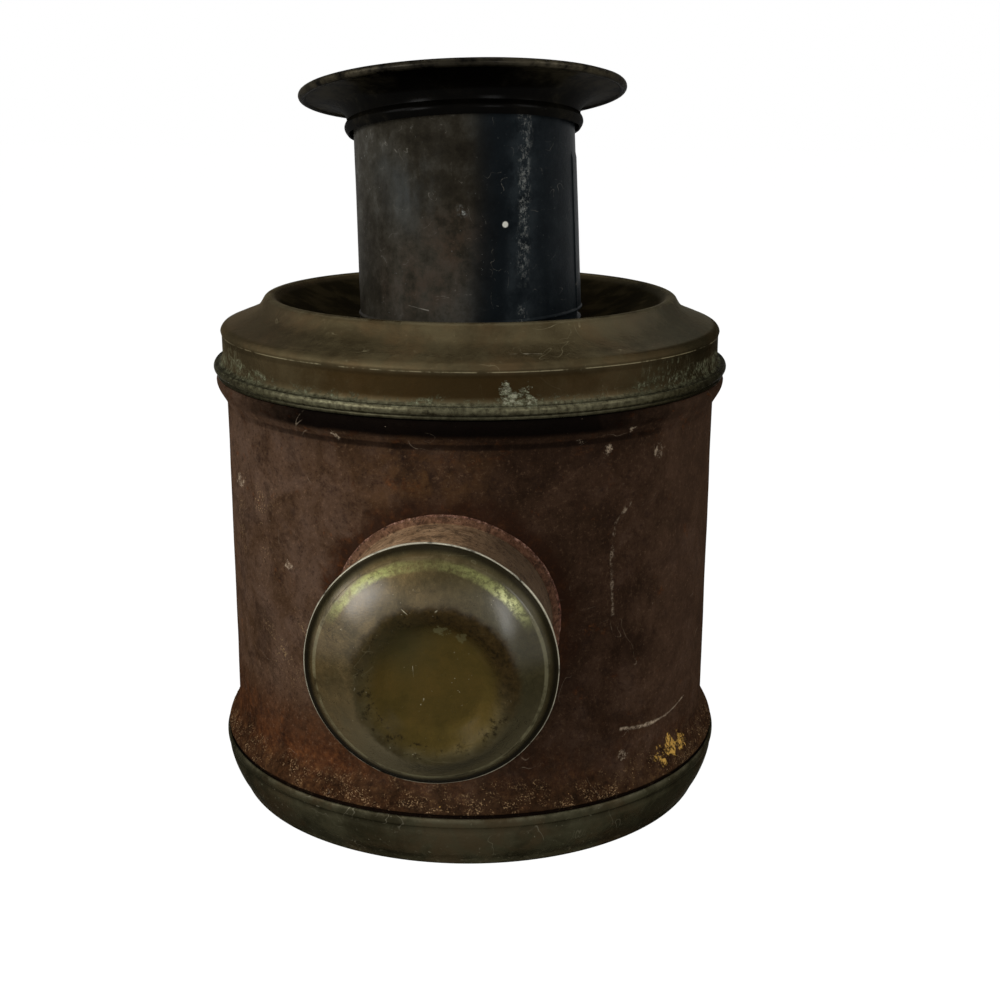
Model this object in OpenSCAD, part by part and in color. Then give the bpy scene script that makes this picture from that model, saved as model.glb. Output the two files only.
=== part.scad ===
// Railway lantern: a sheet iron drum in a spun brass base and crown, with a crooked tin chimney
// and one capped light port. Inside are an oil fount, a flat wick burner, a reflector and a lens.
// Millimetres. The origin is the centre of the base's underside, +Z is up and the port faces -Y.

/* [Drum] */
// Outer radius of the drum
body_r = 100; // [95:0.5:105]
// Thickness of the drum's sheet iron
iron_t = 0.8; // [0.6:0.1:1.2]
// Height of the flared foot's widest place above the base's rim
foot_up = 2.8; // [2.7:0.1:5]
// Height over which the foot flares
foot_rise = 11; // [9:0.5:16]
// Height of the ledge that the crown rests on
ledge_z = 174.6; // [168:0.2:180]
// How far the swage under the crown bulges outward
swage_out = 4; // [3:0.1:4.5]
// Height over which the swage bulges
swage_rise = 10.5; // [8:0.5:14]
// Height of the drum's neck inside the crown
neck_h = 12; // [8:0.5:14]
// Number of air holes low in the back of the drum
air_hole_count = 7; // [3:2:11]
// Radius of an air hole
air_hole_r = 2.5; // [2:0.1:3.5]
// Height of the air holes
air_hole_z = 48; // [44:1:52]
// Angle between two air holes
air_hole_step = 9; // [7:0.5:12]

/* [Base] */
// How far the base's underside stands out past the drum
base_out = -0.8; // [-2:0.1:2]
// Height of the base's rim
rim_z = 21.4; // [19:0.2:23]
// How far the base bulges past its underside
base_bulge = 6.4; // [5:0.2:7.2]
// Thickness of the spun brass
brass_t = 1; // [0.8:0.1:1.3]
// Radius of the small bead on the base's rim
rim_bead_r = 0.7; // [0.5:0.1:1]
// Height of the ring that holds the fount
fount_ring_h = 8; // [5:0.5:12]

/* [Crown] */
// How far the crown's skirt stands out past the drum
crown_out = 1.3; // [1.2:0.1:2.5]
// Height of the skirt from its lower edge to the shoulder
skirt_h = 17.2; // [16:0.2:20]
// Height over which the skirt sweeps out to its large bead
crown_sweep_h = 3.6; // [3:0.2:7]
// Radius of the large bead on the skirt
crown_bead_r = 2.1; // [1.9:0.1:2.5]
// Radius of the small bead below it
crown_lip_bead_r = 0.9; // [0.8:0.1:1.1]
// Radius of the wire inside the large bead
crown_wire_r = 1.2; // [0.8:0.1:1.3]
// Width of the crown's cove, from the skirt in to the lip
cove_w = 19.8; // [17:0.2:23]
// Height of the lip above the shoulder
lip_h = 14; // [12:0.2:16]
// Radius of the lip's rounding
lip_round = 3; // [2:0.2:4]
// Depth of the dish below the lip
dish_depth = 11.5; // [9:0.5:13]
// Height of the chimney seat above the dish
seat_h = 2.4; // [1.5:0.1:4]
// Height of the spigot above the chimney seat
spigot_h = 7.5; // [6:0.5:10]

/* [Chimney] */
// Radius of the chimney tube at its foot
chimney_foot_r = 45.1; // [43:0.1:47]
// How much narrower the chimney tube's radius is at its top
chimney_taper = 1.2; // [0.4:0.1:2]
// Length of the chimney tube
chimney_len = 80.5; // [70:0.5:90]
// Lean of the chimney tube
chimney_lean = 2; // [0:0.5:3]
// Direction that the chimney tube leans towards
chimney_lean_way = 186; // [180:1:192]
// Thickness of the chimney's tin
tin_t = 0.6; // [0.5:0.05:0.8]
// Radius of the bead at the tube's foot
foot_bead_r = 0.7; // [0.5:0.1:1]
// Width of the tube's lap seam
lap_w = 9; // [6:0.5:12]
// Thickness of the tube's lap seam
lap_t = 0.5; // [0.4:0.1:0.8]
// Direction of the tube's lap seam
lap_way = -8; // [-30:1:30]

/* [Hat] */
// Height of the hat's lower edge along the tube
hat_z = 70.6; // [66:0.2:72]
// Tilt of the hat on the tube
hat_tilt = 10.5; // [0:0.5:11]
// Direction that the hat tilts towards
hat_tilt_way = 96; // [90:1:110]
// Height of the bead at the hat's neck
hat_bead_h = 5.4; // [4:0.2:6]
// How far the neck's bead stands out
hat_bead_out = 1.2; // [0.8:0.1:1.6]
// How far the hat's rolled edge stands out past the tube, to the centre of its wire
brim_out = 19.7; // [16:0.1:23]
// Height of the rolled edge above the hat's lower edge
brim_h = 15.2; // [13:0.2:18]
// Radius of the rolled edge
brim_roll_r = 1.65; // [1.4:0.05:2]
// Radius of the wire inside the rolled edge
brim_wire_r = 0.95; // [0.7:0.05:1]

/* [Port] */
// Height of the port's centre
port_z = 97; // [90:0.5:104]
// Outer radius of the port tube
port_r = 39.4; // [36:0.2:41]
// How far the port tube's mouth stands out past the drum
port_out = 40; // [34:0.5:46]
// How far the port tube reaches into the drum
port_inside = 5; // [3:0.5:8]
// Thickness of the port tube
port_t = 1; // [0.8:0.1:1.4]
// Width of the flange round the port tube
flange_w = 3.7; // [3:0.1:5]
// Thickness of the flange
flange_t = 1.3; // [1:0.1:1.6]

/* [Cap] */
// How far the cap's rim stands out past the port tube
cap_rim_out = 4.7; // [4:0.1:6]
// How far the cap's rim reaches back over the port tube
cap_rim_back = 1.6; // [1:0.1:3]
// Depth of the cap's sloping wall
cap_wall_depth = 4; // [3:0.2:5]
// How far the crease between the cap's wall and its ring lies outside the port tube's radius
cap_crease_out = 0.6; // [0.4:0.1:1.6]
// Rise of the cap's ring from its crease to its crest
cap_ring_rise = 6.6; // [5:0.2:8]
// Radius of the crest of the cap's ring
cap_crest_r = 26.6; // [25:0.2:29]
// Radius of the flat bottom of the cap's bowl
cap_centre_r = 15; // [12:0.5:18]
// Depth of the cap's bowl below the crest of its ring
cap_centre_depth = 4.6; // [3:0.2:5.4]
// Thickness of the cap's brass
cap_t = 0.8; // [0.6:0.1:1]
// Length of the cap's plug inside the port tube
cap_plug_len = 9; // [6:0.5:11]
// Clearance of the cap's plug in the port tube
plug_fit = 0.08; // [0.04:0.01:0.1]

/* [Lens] */
// Distance of the lens's flat face behind the port tube's mouth
lens_back = 28; // [25:0.5:32]
// Thickness of the lens at its edge
lens_edge = 3; // [2:0.2:4]
// Rise of the lens's round face
lens_rise = 8; // [5:0.5:9]
// Width of the rings that hold the lens
lens_ring_w = 3; // [2:0.2:4]
// Thickness of the rings that hold the lens
lens_ring_t = 2; // [1.5:0.1:3]

/* [Reflector] */
// Radius of the reflector
reflector_r = 29; // [24:0.5:31]
// Gap between the fount and the reflector's edge, so that the fount lifts out past it
reflector_gap = 2; // [1:0.5:6]
// Depth of the reflector's dish
reflector_depth = 9; // [6:0.5:11]
// Width of the strip that carries the reflector
bracket_w = 14; // [10:0.5:18]
// Thickness of the strip that carries the reflector
bracket_t = 1.5; // [1:0.1:2]
// Radius of a rivet's shank
rivet_r = 1.5; // [1:0.1:2]

/* [Fount] */
// Radius of the oil fount
fount_r = 48; // [44:0.5:52]
// Height of the fount's straight wall
fount_wall_h = 34; // [28:0.5:38]
// Rise of the fount's domed top
fount_dome_h = 10; // [8:0.5:12]
// Thickness of the fount's sheet
fount_t = 0.8; // [0.6:0.1:1.2]
// Bore of the collar that the burner screws into
collar_r = 12; // [11:0.2:13]
// Height of the burner collar
collar_h = 6; // [5:0.5:8]
// Distance of the filler from the lantern's axis
filler_x = 30; // [28:0.5:33]
// Outer radius of the filler's neck
filler_r = 8; // [7:0.2:9]

/* [Burner] */
// Height of the burner's body above its flange
burner_h = 16; // [14:0.5:20]
// Height of the cone over the wick
cone_h = 14; // [12:0.5:18]
// Width of the wick
wick_w = 13.8; // [10:0.2:15]
// Thickness of the wick
wick_t = 1.4; // [1.2:0.1:1.8]
// Length of the wick
wick_len = 78; // [70:1:84]
// Radius of the wheels that raise the wick
wheel_r = 3.2; // [2.8:0.1:3.4]
// Number of teeth on a wick wheel
wheel_teeth = 9; // [7:1:12]
// Radius of the wick knob
knob_r = 7.5; // [6:0.5:8]
// Distance of the wick knob from the lantern's axis
knob_x = 30; // [26:0.5:32]

/* [Baffle] */
// Radius of the baffle under the chimney
baffle_r = 36; // [32:0.5:38]
// Gap between the baffle's edge and the crown's collar
baffle_drop = 14; // [10:0.5:16]
// Rise of the baffle's cone
baffle_rise = 6; // [4:0.5:8]
// Number of legs that carry the baffle
leg_count = 3; // [3:1:6]
// Width of a baffle leg
leg_w = 9; // [7:0.5:12]

/* [Hidden] */
$fn = 96;
// Clearance between pieces that rest on each other or lift apart
rest_gap = 0.3;
// Clearance between pieces that are soldered or pushed together
fit_gap = 0.05;
// Extra length of a cut so that it passes right through
cut_over = 1;
rivet_head_h = 0.8;
rivet_head_r = rivet_r * 1.7;
knurl_count = 20;
knurl_r = 0.6;

// Base
base_floor_z = brass_t;
base_r = body_r + base_out;
rim_r = base_r + base_bulge;
foot_z = rim_z + foot_up;
// The drum's lower edge stands inside the base's rim, and its foot bulges out just above it
foot_edge_r = rim_r - 0.6;
skirt_r = rim_r - brass_t / 2 - rim_bead_r - rest_gap;
skirt_low_z = rim_z - 2;
groove_z = foot_z - 1.6;
foot_flare = foot_edge_r - body_r;

// Drum
crown_r = body_r + crown_out;
neck_r = crown_r - brass_t - rest_gap - fit_gap;
swage_z = ledge_z - swage_rise;
// Height of the rounded edge between the swage and the ledge
swage_edge_h = 1.4;
drum_top_z = ledge_z + neck_h;
drum_in_r = body_r - iron_t;

// Crown
crown_z = ledge_z + rest_gap;
shoulder_z = crown_z + skirt_h;
lip_z = shoulder_z + lip_h;
lip_r = crown_r - cove_w;
dish_z = lip_z - dish_depth;
seat_z = dish_z + seat_h;
crown_lip_bead_z = crown_z + crown_lip_bead_r;
crown_bead_z = crown_lip_bead_z + crown_lip_bead_r * 0.6 + crown_bead_r;
crown_bead_mid_r = crown_r - brass_t / 2 + crown_bead_r - fit_gap;
crown_lip_bead_mid_r = crown_bead_mid_r + 0.1;
// The rivets that carry the baffle lie just below the dish's sheet
baffle_rivet_z = dish_z - brass_t - rest_gap - rivet_head_r;
collar_low_z = baffle_rivet_z - rivet_head_r - 1;
spigot_top_z = seat_z + spigot_h;
seat_r = chimney_foot_r + tin_t * 0.4;
chimney_top_r = chimney_foot_r - chimney_taper;
// The spigot clears the leaning tube all the way up
tube_in_spigot = chimney_foot_r - tin_t - (chimney_foot_r - chimney_top_r) * spigot_h / chimney_len;
spigot_r = tube_in_spigot - (spigot_h + foot_bead_r) * tan(chimney_lean) - rest_gap;

// Chimney
foot_out_r = chimney_foot_r + foot_bead_r;
chimney_z = seat_z + rest_gap + foot_out_r * sin(chimney_lean);
// The lap seam ends below the hat's lowest edge
lap_angle = lap_w / chimney_foot_r * 180 / PI;
lap_top_z = hat_z - (chimney_top_r + 4) * sin(hat_tilt) - 2 * rest_gap;
lap_top_r = chimney_foot_r - (chimney_foot_r - chimney_top_r) * lap_top_z / chimney_len;

// Hat: its neck is wide enough to sit crooked on the tube
hat_cross_h = hat_bead_h * 0.4;
brim_r = chimney_top_r + brim_out;
tube_slice_r = chimney_top_r + (chimney_foot_r - chimney_top_r) * (1 - (hat_z - 8) / chimney_len);
hat_neck_r = tube_slice_r / cos(hat_tilt) + hat_cross_h * tan(hat_tilt) + rest_gap + tin_t;
hat_throat_r = tube_slice_r / cos(hat_tilt) + (hat_bead_h - hat_cross_h) * tan(hat_tilt) + rest_gap + tin_t;
hat_shift = hat_cross_h * tan(hat_tilt);

// Port
port_in_r = port_r - port_t;
port_reach = body_r + port_out;
port_back_y = sqrt(drum_in_r * drum_in_r - port_r * port_r) - port_inside;
flange_r = port_r + flange_w;
cap_rim_r = port_r + cap_rim_out;
cap_crease_r = port_r + cap_crease_out;
cap_y = port_reach - cap_rim_back;
cap_crease_y = cap_y + cap_wall_depth;
cap_ring_y = cap_crease_y + cap_ring_rise;
cap_floor_y = cap_ring_y - cap_centre_depth;
cap_plug_r = port_in_r - plug_fit;
// The plug runs up into the underside of the cap's ring
cap_plug_over = cap_crease_y - port_reach + cap_ring_rise * 0.13;
cap_rim_bead_r = 0.8;
cap_ring_power = 1.4;
cap_outline_step = 0.1;

// Lens
lens_y = port_reach - lens_back;
lens_r = port_in_r - rest_gap;
lens_arc_r = (lens_r * lens_r + lens_rise * lens_rise) / (2 * lens_rise);
lens_ring_in_r = port_in_r - fit_gap - lens_ring_w;
lens_ring_y = lens_y + lens_edge + lens_rise * (1 - pow(lens_ring_in_r / lens_r, 2)) + rest_gap;

// Reflector
reflector_y = fount_r + reflector_gap;
reflector_arc_r = (reflector_r * reflector_r + reflector_depth * reflector_depth) / (2 * reflector_depth);
reflector_back_y = reflector_y + reflector_depth;

// Fount
fount_z = base_floor_z + rest_gap;
fount_top_z = fount_z + fount_wall_h + fount_dome_h;
fount_ring_r = fount_r + rest_gap;
land_r = collar_r + 3.5;
collar_top_z = fount_top_z + collar_h;
filler_cap_r = filler_r + 2.2;
filler_low_z = fount_top_z - fount_dome_h;
filler_top_z = fount_top_z + 4;
filler_skirt_h = 3.4;

// Burner
plug_r = collar_r - plug_fit;
burner_flange_z = collar_top_z + rest_gap;
burner_r = collar_r + 1.5;
burner_z = burner_flange_z + 1.6;
burner_top_z = burner_z + burner_h;
sleeve_w = wick_w + 0.8;
sleeve_d = wick_t + 0.8;
sleeve_out_w = sleeve_w + 1.2;
sleeve_out_d = sleeve_d + 1.2;
wick_z = burner_flange_z - 42;
spindle_r = 1;
spindle_z = burner_z + 7;
spindle_y = wick_t / 2 + rest_gap + wheel_r;
wheel_x = wick_w * 0.25;
wheel_t = 1.5;
knob_t = 3;

// Baffle
baffle_z = collar_low_z - baffle_drop;
leg_t = tin_t + 0.2;
leg_out_r = seat_r - tin_t - fit_gap;
leg_top_z = baffle_rivet_z + rivet_head_r + 0.5;
leg_way = 30;

// Points of an arc about c, from angle a0 to angle a1
function arc(c, r, a0, a1, n = 6) =
    [for (i = [0:n]) c + r * [cos(a0 + (a1 - a0) * i / n), sin(a0 + (a1 - a0) * i / n)]];
function unit(v) = v / norm(v);
function turned(v) = [-v[1], v[0]];
function before(p, i) = i > 0 ? turned(unit(p[i] - p[i - 1])) : turned(unit(p[1] - p[0]));
function after(p, i) = i < len(p) - 1 ? turned(unit(p[i + 1] - p[i])) : before(p, i);
// The sideways direction at a point of a path, upright where the path meets the axis
function sideways(p, i) = p[i][0] == 0 ? [0, before(p, i)[1] > 0 ? 1 : -1] : unit(before(p, i) + after(p, i));
// A path moved sideways by t, with its corners kept sharp
function moved(p, t) =
    [for (i = [0:len(p) - 1]) p[i] + sideways(p, i) * t / (sideways(p, i) * before(p, i))];
function back_to_front(p) = [for (i = [len(p) - 1:-1:0]) p[i]];

// A turned sheet of thickness t to the left of a path of [radius, height] points
module turned_sheet(p, t) {
    rotate_extrude()
        polygon(concat(p, back_to_front(moved(p, t))));
}

// A ring of round section
module ring(mid_r, section_r) {
    rotate_extrude()
        translate([mid_r, 0])
            circle(section_r, $fn = 32);
}

// Turns a shape made along +Z so that it points out of the port, with its place along the port's axis
module at_port() {
    translate([0, 0, port_z])
        rotate([90, 0, 0])
            children();
}

// Leans its children about the X-Y plane by an angle towards a direction
module leaned(angle, way) {
    rotate(a = angle, v = [-sin(way), cos(way), 0])
        children();
}

// A rivet along +Z: its shank runs from 0 to grip, with a low head at each end
module rivet(grip) {
    translate([0, 0, -rest_gap])
        cylinder(r = rivet_r - fit_gap, h = grip + 2 * rest_gap, $fn = 32);
    for (z = [-rest_gap - rivet_head_h, grip + rest_gap])
        translate([0, 0, z])
            cylinder(r = rivet_head_r, h = rivet_head_h, $fn = 32);
}

// A disc along +Z with small notches round its edge
module knurled(r, h) {
    difference() {
        cylinder(r = r, h = h);
        for (i = [0:knurl_count - 1])
            rotate([0, 0, 360 * i / knurl_count])
                translate([r, 0, -cut_over])
                    cylinder(r = knurl_r, h = h + 2 * cut_over, $fn = 16);
    }
}

// Puts its children in the chimney tube's own frame
module on_crown() {
    translate([0, 0, chimney_z])
        leaned(chimney_lean, chimney_lean_way)
            children();
}

// Puts its children in the hat's own frame
module on_tube() {
    on_crown()
        translate([0, 0, hat_z])
            leaned(hat_tilt, hat_tilt_way)
                translate([-hat_shift * cos(hat_tilt_way), -hat_shift * sin(hat_tilt_way), 0])
                    children();
}

base_wall = concat(
    [[base_r, 0], [base_r + base_bulge * 0.12, rim_z * 0.12]],
    [for (t = [0.25:0.125:0.875])
        [base_r + (rim_r - base_r) * sin(100 * t), rim_z * t]],
    [[rim_r, rim_z]]
);

module base_pan() {
    color("darkkhaki") {
        turned_sheet(concat([[0, 0]], base_wall), brass_t);
        translate([0, 0, rim_z])
            ring(rim_r - brass_t / 2, rim_bead_r);
    }
}

module fount_ring() {
    color("darkkhaki")
        translate([0, 0, base_floor_z])
            difference() {
                cylinder(r = fount_ring_r + brass_t, h = fount_ring_h);
                translate([0, 0, -cut_over])
                    cylinder(r = fount_ring_r, h = fount_ring_h + 2 * cut_over);
            }
}

// The drum's outline from its lower edge up: a plain skirt, a swelling foot, the wall, the swage and the neck
foot_path = concat(
    [[skirt_r, skirt_low_z], [skirt_r, groove_z], [foot_edge_r - 0.2, foot_z - 0.9]],
    [for (t = [0:0.125:1])
        [body_r + foot_flare * ((1 + cos(180 * t)) / 4 + (1 - t) / 2), foot_z + foot_rise * t]]
);
// The swage starts at a crease and runs out level at its top
swage_path = [for (t = [0:0.125:1])
    [body_r + swage_out * (sin(90 * t) / 2 + (1 - cos(180 * t)) / 4), swage_z + (swage_rise - swage_edge_h) * t]];
neck_path = [
    [body_r + swage_out - 0.4, ledge_z - 0.5],
    [body_r + swage_out - swage_edge_h + 0.1, ledge_z],
    [neck_r, ledge_z],
    [neck_r, drum_top_z]
];

module body_drum() {
    color("saddlebrown")
        difference() {
            turned_sheet(concat(foot_path, swage_path, neck_path), iron_t);
            at_port()
                cylinder(r = port_r + fit_gap, h = body_r + cut_over);
            for (i = [0:air_hole_count - 1])
                rotate([0, 0, (i - (air_hole_count - 1) / 2) * air_hole_step])
                    translate([0, drum_in_r - cut_over, air_hole_z])
                        rotate([-90, 0, 0])
                            cylinder(r = air_hole_r, h = iron_t + 2 * cut_over, $fn = 32);
        }
}

module port_flange() {
    color("rosybrown")
        difference() {
            intersection() {
                cylinder(r = body_r + flange_t, h = ledge_z);
                at_port()
                    cylinder(r = flange_r, h = body_r + flange_t + cut_over);
            }
            translate([0, 0, -cut_over])
                cylinder(r = body_r + fit_gap, h = ledge_z + 2 * cut_over);
            at_port()
                cylinder(r = port_r + fit_gap, h = body_r + flange_t + 2 * cut_over);
        }
}

module port_tube() {
    color("rosybrown")
        at_port()
            difference() {
                translate([0, 0, port_back_y])
                    cylinder(r = port_r, h = port_reach - port_back_y);
                translate([0, 0, port_back_y - cut_over])
                    cylinder(r = port_in_r, h = port_reach - port_back_y + 2 * cut_over);
            }
}

// A ring inside the port tube, from a distance y outward
module lens_holder(y) {
    at_port()
        translate([0, 0, y])
            difference() {
                cylinder(r = port_in_r - fit_gap, h = lens_ring_t);
                translate([0, 0, -cut_over])
                    cylinder(r = lens_ring_in_r, h = lens_ring_t + 2 * cut_over);
            }
}

module lens_seat() {
    color("darkkhaki")
        lens_holder(lens_y - lens_ring_t);
}

module lens() {
    color("whitesmoke")
        at_port()
            translate([0, 0, lens_y])
                rotate_extrude()
                    polygon(concat([[0, 0], [lens_r, 0]],
                        arc([0, lens_edge + lens_rise - lens_arc_r], lens_arc_r, 90 - asin(lens_r / lens_arc_r), 90, 14)));
}

module lens_ring() {
    color("darkkhaki")
        lens_holder(lens_ring_y);
}

module reflector() {
    color("silver")
        translate([0, 0, port_z])
            rotate([-90, 0, 0])
                difference() {
                    translate([0, 0, reflector_back_y])
                        turned_sheet(arc([0, -reflector_arc_r], reflector_arc_r, 90 - asin(reflector_r / reflector_arc_r),
                            90, 12), fount_t);
                    translate([0, 0, reflector_y])
                        cylinder(r = rivet_r, h = reflector_depth + cut_over, $fn = 32);
                }
}

// The strip's two lugs lie against the reflector's back and the drum's wall
module reflector_bracket() {
    front_y = reflector_back_y + fit_gap;
    back_y = drum_in_r - bracket_t - rest_gap;
    color("silver")
        translate([0, 0, port_z])
            difference() {
                translate([-bracket_w / 2, 0, 0]) {
                    translate([0, front_y, -bracket_w / 2])
                        cube([bracket_w, bracket_t, bracket_w]);
                    translate([0, front_y, bracket_w / 2 - bracket_t])
                        cube([bracket_w, back_y - front_y + bracket_t, bracket_t]);
                    translate([0, back_y, bracket_w / 2 - bracket_t])
                        cube([bracket_w, bracket_t, bracket_w]);
                }
                rotate([-90, 0, 0])
                    cylinder(r = rivet_r, h = front_y + bracket_t + cut_over, $fn = 32);
            }
}

module reflector_rivet() {
    color("silver")
        translate([0, reflector_back_y - fount_t, port_z])
            rotate([-90, 0, 0])
                rivet(fount_t + fit_gap + bracket_t);
}

// The crown's outline: skirt, crease, rounded shoulder, hollow cove, rolled lip and dish
cove_low = [crown_r - 9.8, shoulder_z + lip_h * 0.44];
cove_high = [lip_r + lip_round * cos(30), lip_z - lip_round * (1 - sin(30))];
dish_edge_r = lip_r - lip_round;
dish_edge_z = lip_z - 2;
crown_path = concat(
    [[crown_r, crown_z], [crown_r, shoulder_z - 0.8], [crown_r + 0.5, shoulder_z]],
    arc([crown_r - 2.6, shoulder_z], 3, 15, 62, 4),
    [[crown_r - 3.5, shoulder_z + lip_h * 0.24], [crown_r - 6.8, shoulder_z + lip_h * 0.34], cove_low],
    [for (t = [0.25:0.25:0.75])
        cove_low * (1 - t) + cove_high * t - [0.8, 0.8] * sin(180 * t)],
    arc([lip_r, lip_z - lip_round], lip_round, 30, 150, 8),
    [for (t = [0.15:0.17:1])
        [dish_edge_r - (dish_edge_r - seat_r - fit_gap) * t,
         dish_edge_z - (dish_edge_z - dish_z) * sin(90 * t)]]
);
// The solder that sweeps the skirt out to its large bead
sweep_top_z = crown_bead_z + crown_bead_r * 0.6 + crown_sweep_h;
crown_sweep = concat(
    [[crown_r - brass_t / 2, crown_bead_z], [crown_r - brass_t / 2, sweep_top_z]],
    [for (t = [0:0.2:1])
        [crown_r + crown_bead_r * 0.95 * (1 - cos(90 * t)), sweep_top_z - crown_sweep_h * sin(90 * t)]],
    [[crown_bead_mid_r, crown_bead_z]]
);

module crown_shell() {
    color("olive") {
        difference() {
            union() {
                turned_sheet(crown_path, brass_t);
                translate([0, 0, crown_bead_z])
                    ring(crown_bead_mid_r, crown_bead_r);
                translate([0, 0, crown_lip_bead_z])
                    ring(crown_lip_bead_mid_r, crown_lip_bead_r);
                rotate_extrude()
                    polygon(crown_sweep);
            }
            translate([0, 0, crown_bead_z])
                ring(crown_bead_mid_r, crown_wire_r + fit_gap);
            translate([0, 0, dish_z - 2 * cut_over])
                cylinder(r = seat_r + fit_gap, h = 4 * cut_over);
        }
    }
}

module crown_wire() {
    color("gray")
        translate([0, 0, crown_bead_z])
            ring(crown_bead_mid_r, crown_wire_r);
}

module crown_collar() {
    color("darkolivegreen")
        difference() {
            turned_sheet([[seat_r, collar_low_z], [seat_r, seat_z], [spigot_r, seat_z], [spigot_r, spigot_top_z]], tin_t);
            for (i = [0:leg_count - 1])
                rotate([0, 0, 360 * i / leg_count + leg_way])
                    translate([0, 0, baffle_rivet_z])
                        rotate([0, 90, 0])
                            cylinder(r = rivet_r, h = seat_r + cut_over, $fn = 32);
        }
}

// One bent leg: its foot is part of the baffle and its shank lies inside the collar
module baffle_leg() {
    difference() {
        intersection() {
            cylinder(r = leg_out_r, h = leg_top_z);
            translate([0, -leg_w / 2, baffle_z - tin_t])
                cube([seat_r, leg_w, leg_top_z - baffle_z + tin_t]);
        }
        translate([0, 0, baffle_z + leg_t - tin_t])
            cylinder(r = leg_out_r - leg_t, h = leg_top_z);
        cylinder(r = baffle_r - leg_t, h = leg_top_z);
        translate([0, 0, baffle_rivet_z])
            rotate([0, 90, 0])
                cylinder(r = rivet_r, h = seat_r, $fn = 32);
    }
}

module heat_baffle() {
    color("dimgray") {
        turned_sheet([[baffle_r, baffle_z], [0, baffle_z + baffle_rise]], tin_t);
        for (i = [0:leg_count - 1])
            rotate([0, 0, 360 * i / leg_count + leg_way])
                baffle_leg();
    }
}

module baffle_rivets() {
    color("silver")
        for (i = [0:leg_count - 1])
            rotate([0, 0, 360 * i / leg_count + leg_way])
                translate([leg_out_r - leg_t, 0, baffle_rivet_z])
                    rotate([0, 90, 0])
                        rivet(leg_t + fit_gap + tin_t);
}

module chimney_tube() {
    color("darkslategray")
        on_crown() {
            turned_sheet([[chimney_foot_r, 0], [chimney_top_r, chimney_len]], tin_t);
            translate([0, 0, foot_bead_r])
                ring(chimney_foot_r - tin_t / 2 + foot_bead_r * 0.4, foot_bead_r);
            rotate([0, 0, lap_way - lap_angle / 2])
                rotate_extrude(angle = lap_angle)
                    polygon([
                        [chimney_foot_r - tin_t / 2, foot_bead_r],
                        [chimney_foot_r + lap_t, foot_bead_r],
                        [lap_top_r + lap_t, lap_top_z],
                        [lap_top_r - tin_t / 2, lap_top_z]
                    ]);
        }
}

// The hat's outline: a bead at the neck, then a trumpet that ends in the rolled edge
hat_bead = [for (t = [0:0.125:1])
    [hat_neck_r + (hat_throat_r - hat_neck_r) * t + hat_bead_out * sin(180 * t), hat_bead_h * t]];
hat_flare = [for (a = [10:10:90])
    [hat_throat_r + (brim_r - 0.8 - hat_throat_r) * (1 - cos(a)), hat_bead_h + (brim_h - 0.6 - hat_bead_h) * sin(a)]];

module hat_trumpet() {
    color("black")
        on_tube()
            difference() {
                union() {
                    turned_sheet(concat(hat_bead, hat_flare), tin_t);
                    translate([0, 0, brim_h])
                        ring(brim_r, brim_roll_r);
                }
                translate([0, 0, brim_h])
                    ring(brim_r, brim_wire_r + fit_gap);
            }
}

module hat_wire() {
    color("gray")
        on_tube()
            translate([0, 0, brim_h])
                ring(brim_r, brim_wire_r);
}

// The cap's outline from its rim to its centre, as [radius, distance along the port]
cap_wall = [
    [cap_rim_r - cap_rim_bead_r, cap_y],
    [cap_rim_r - cap_rim_bead_r, cap_y + 0.6],
    [cap_rim_r - 1.8, cap_y + cap_wall_depth * 0.5],
    [cap_crease_r + 0.7, cap_crease_y - 0.6]
];
cap_ring = [for (t = [0:cap_outline_step:1])
    [cap_crease_r + (cap_crest_r - cap_crease_r) * t,
     cap_crease_y + cap_ring_rise * (1 - pow(1 - t, cap_ring_power))]];
cap_bowl = [for (t = [cap_outline_step:cap_outline_step:1])
    [cap_crest_r + (cap_centre_r - cap_crest_r) * t,
     cap_ring_y - cap_centre_depth * (1 - cos(180 * t)) / 2]];
cap_centre = [[0, cap_floor_y]];

module port_cap() {
    color("darkgoldenrod")
        at_port() {
            turned_sheet(concat(cap_wall, cap_ring, cap_bowl, cap_centre), cap_t);
            translate([0, 0, cap_y])
                ring(cap_rim_r - cap_rim_bead_r, cap_rim_bead_r);
            translate([0, 0, port_reach - cap_plug_len])
                difference() {
                    cylinder(r = cap_plug_r, h = cap_plug_len + cap_plug_over);
                    translate([0, 0, -cut_over])
                        cylinder(r = cap_plug_r - cap_t, h = cap_plug_len + cap_plug_over + 2 * cut_over);
                }
        }
}

fount_dome = [for (a = [0:9:90])
    [land_r + (fount_r - land_r) * cos(a), fount_z + fount_wall_h + fount_dome_h * sin(a)]];

module fount_shell() {
    color("goldenrod")
        difference() {
            turned_sheet(concat([[0, fount_z], [fount_r - 1, fount_z], [fount_r, fount_z + 1]], fount_dome,
                [[collar_r, fount_top_z]]), fount_t);
            translate([-filler_x, 0, filler_low_z])
                cylinder(r = filler_r + fit_gap, h = fount_dome_h + cut_over);
        }
}

module burner_collar() {
    color("goldenrod")
        translate([0, 0, fount_top_z])
            difference() {
                cylinder(r = land_r - 1, h = collar_h);
                translate([0, 0, -cut_over])
                    cylinder(r = collar_r, h = collar_h + 2 * cut_over);
            }
}

module filler_neck() {
    color("goldenrod")
        translate([-filler_x, 0, filler_low_z + 2])
            difference() {
                cylinder(r = filler_r, h = filler_top_z - filler_low_z - 2);
                translate([0, 0, -cut_over])
                    cylinder(r = filler_r - brass_t, h = filler_top_z - filler_low_z + cut_over);
            }
}

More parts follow.
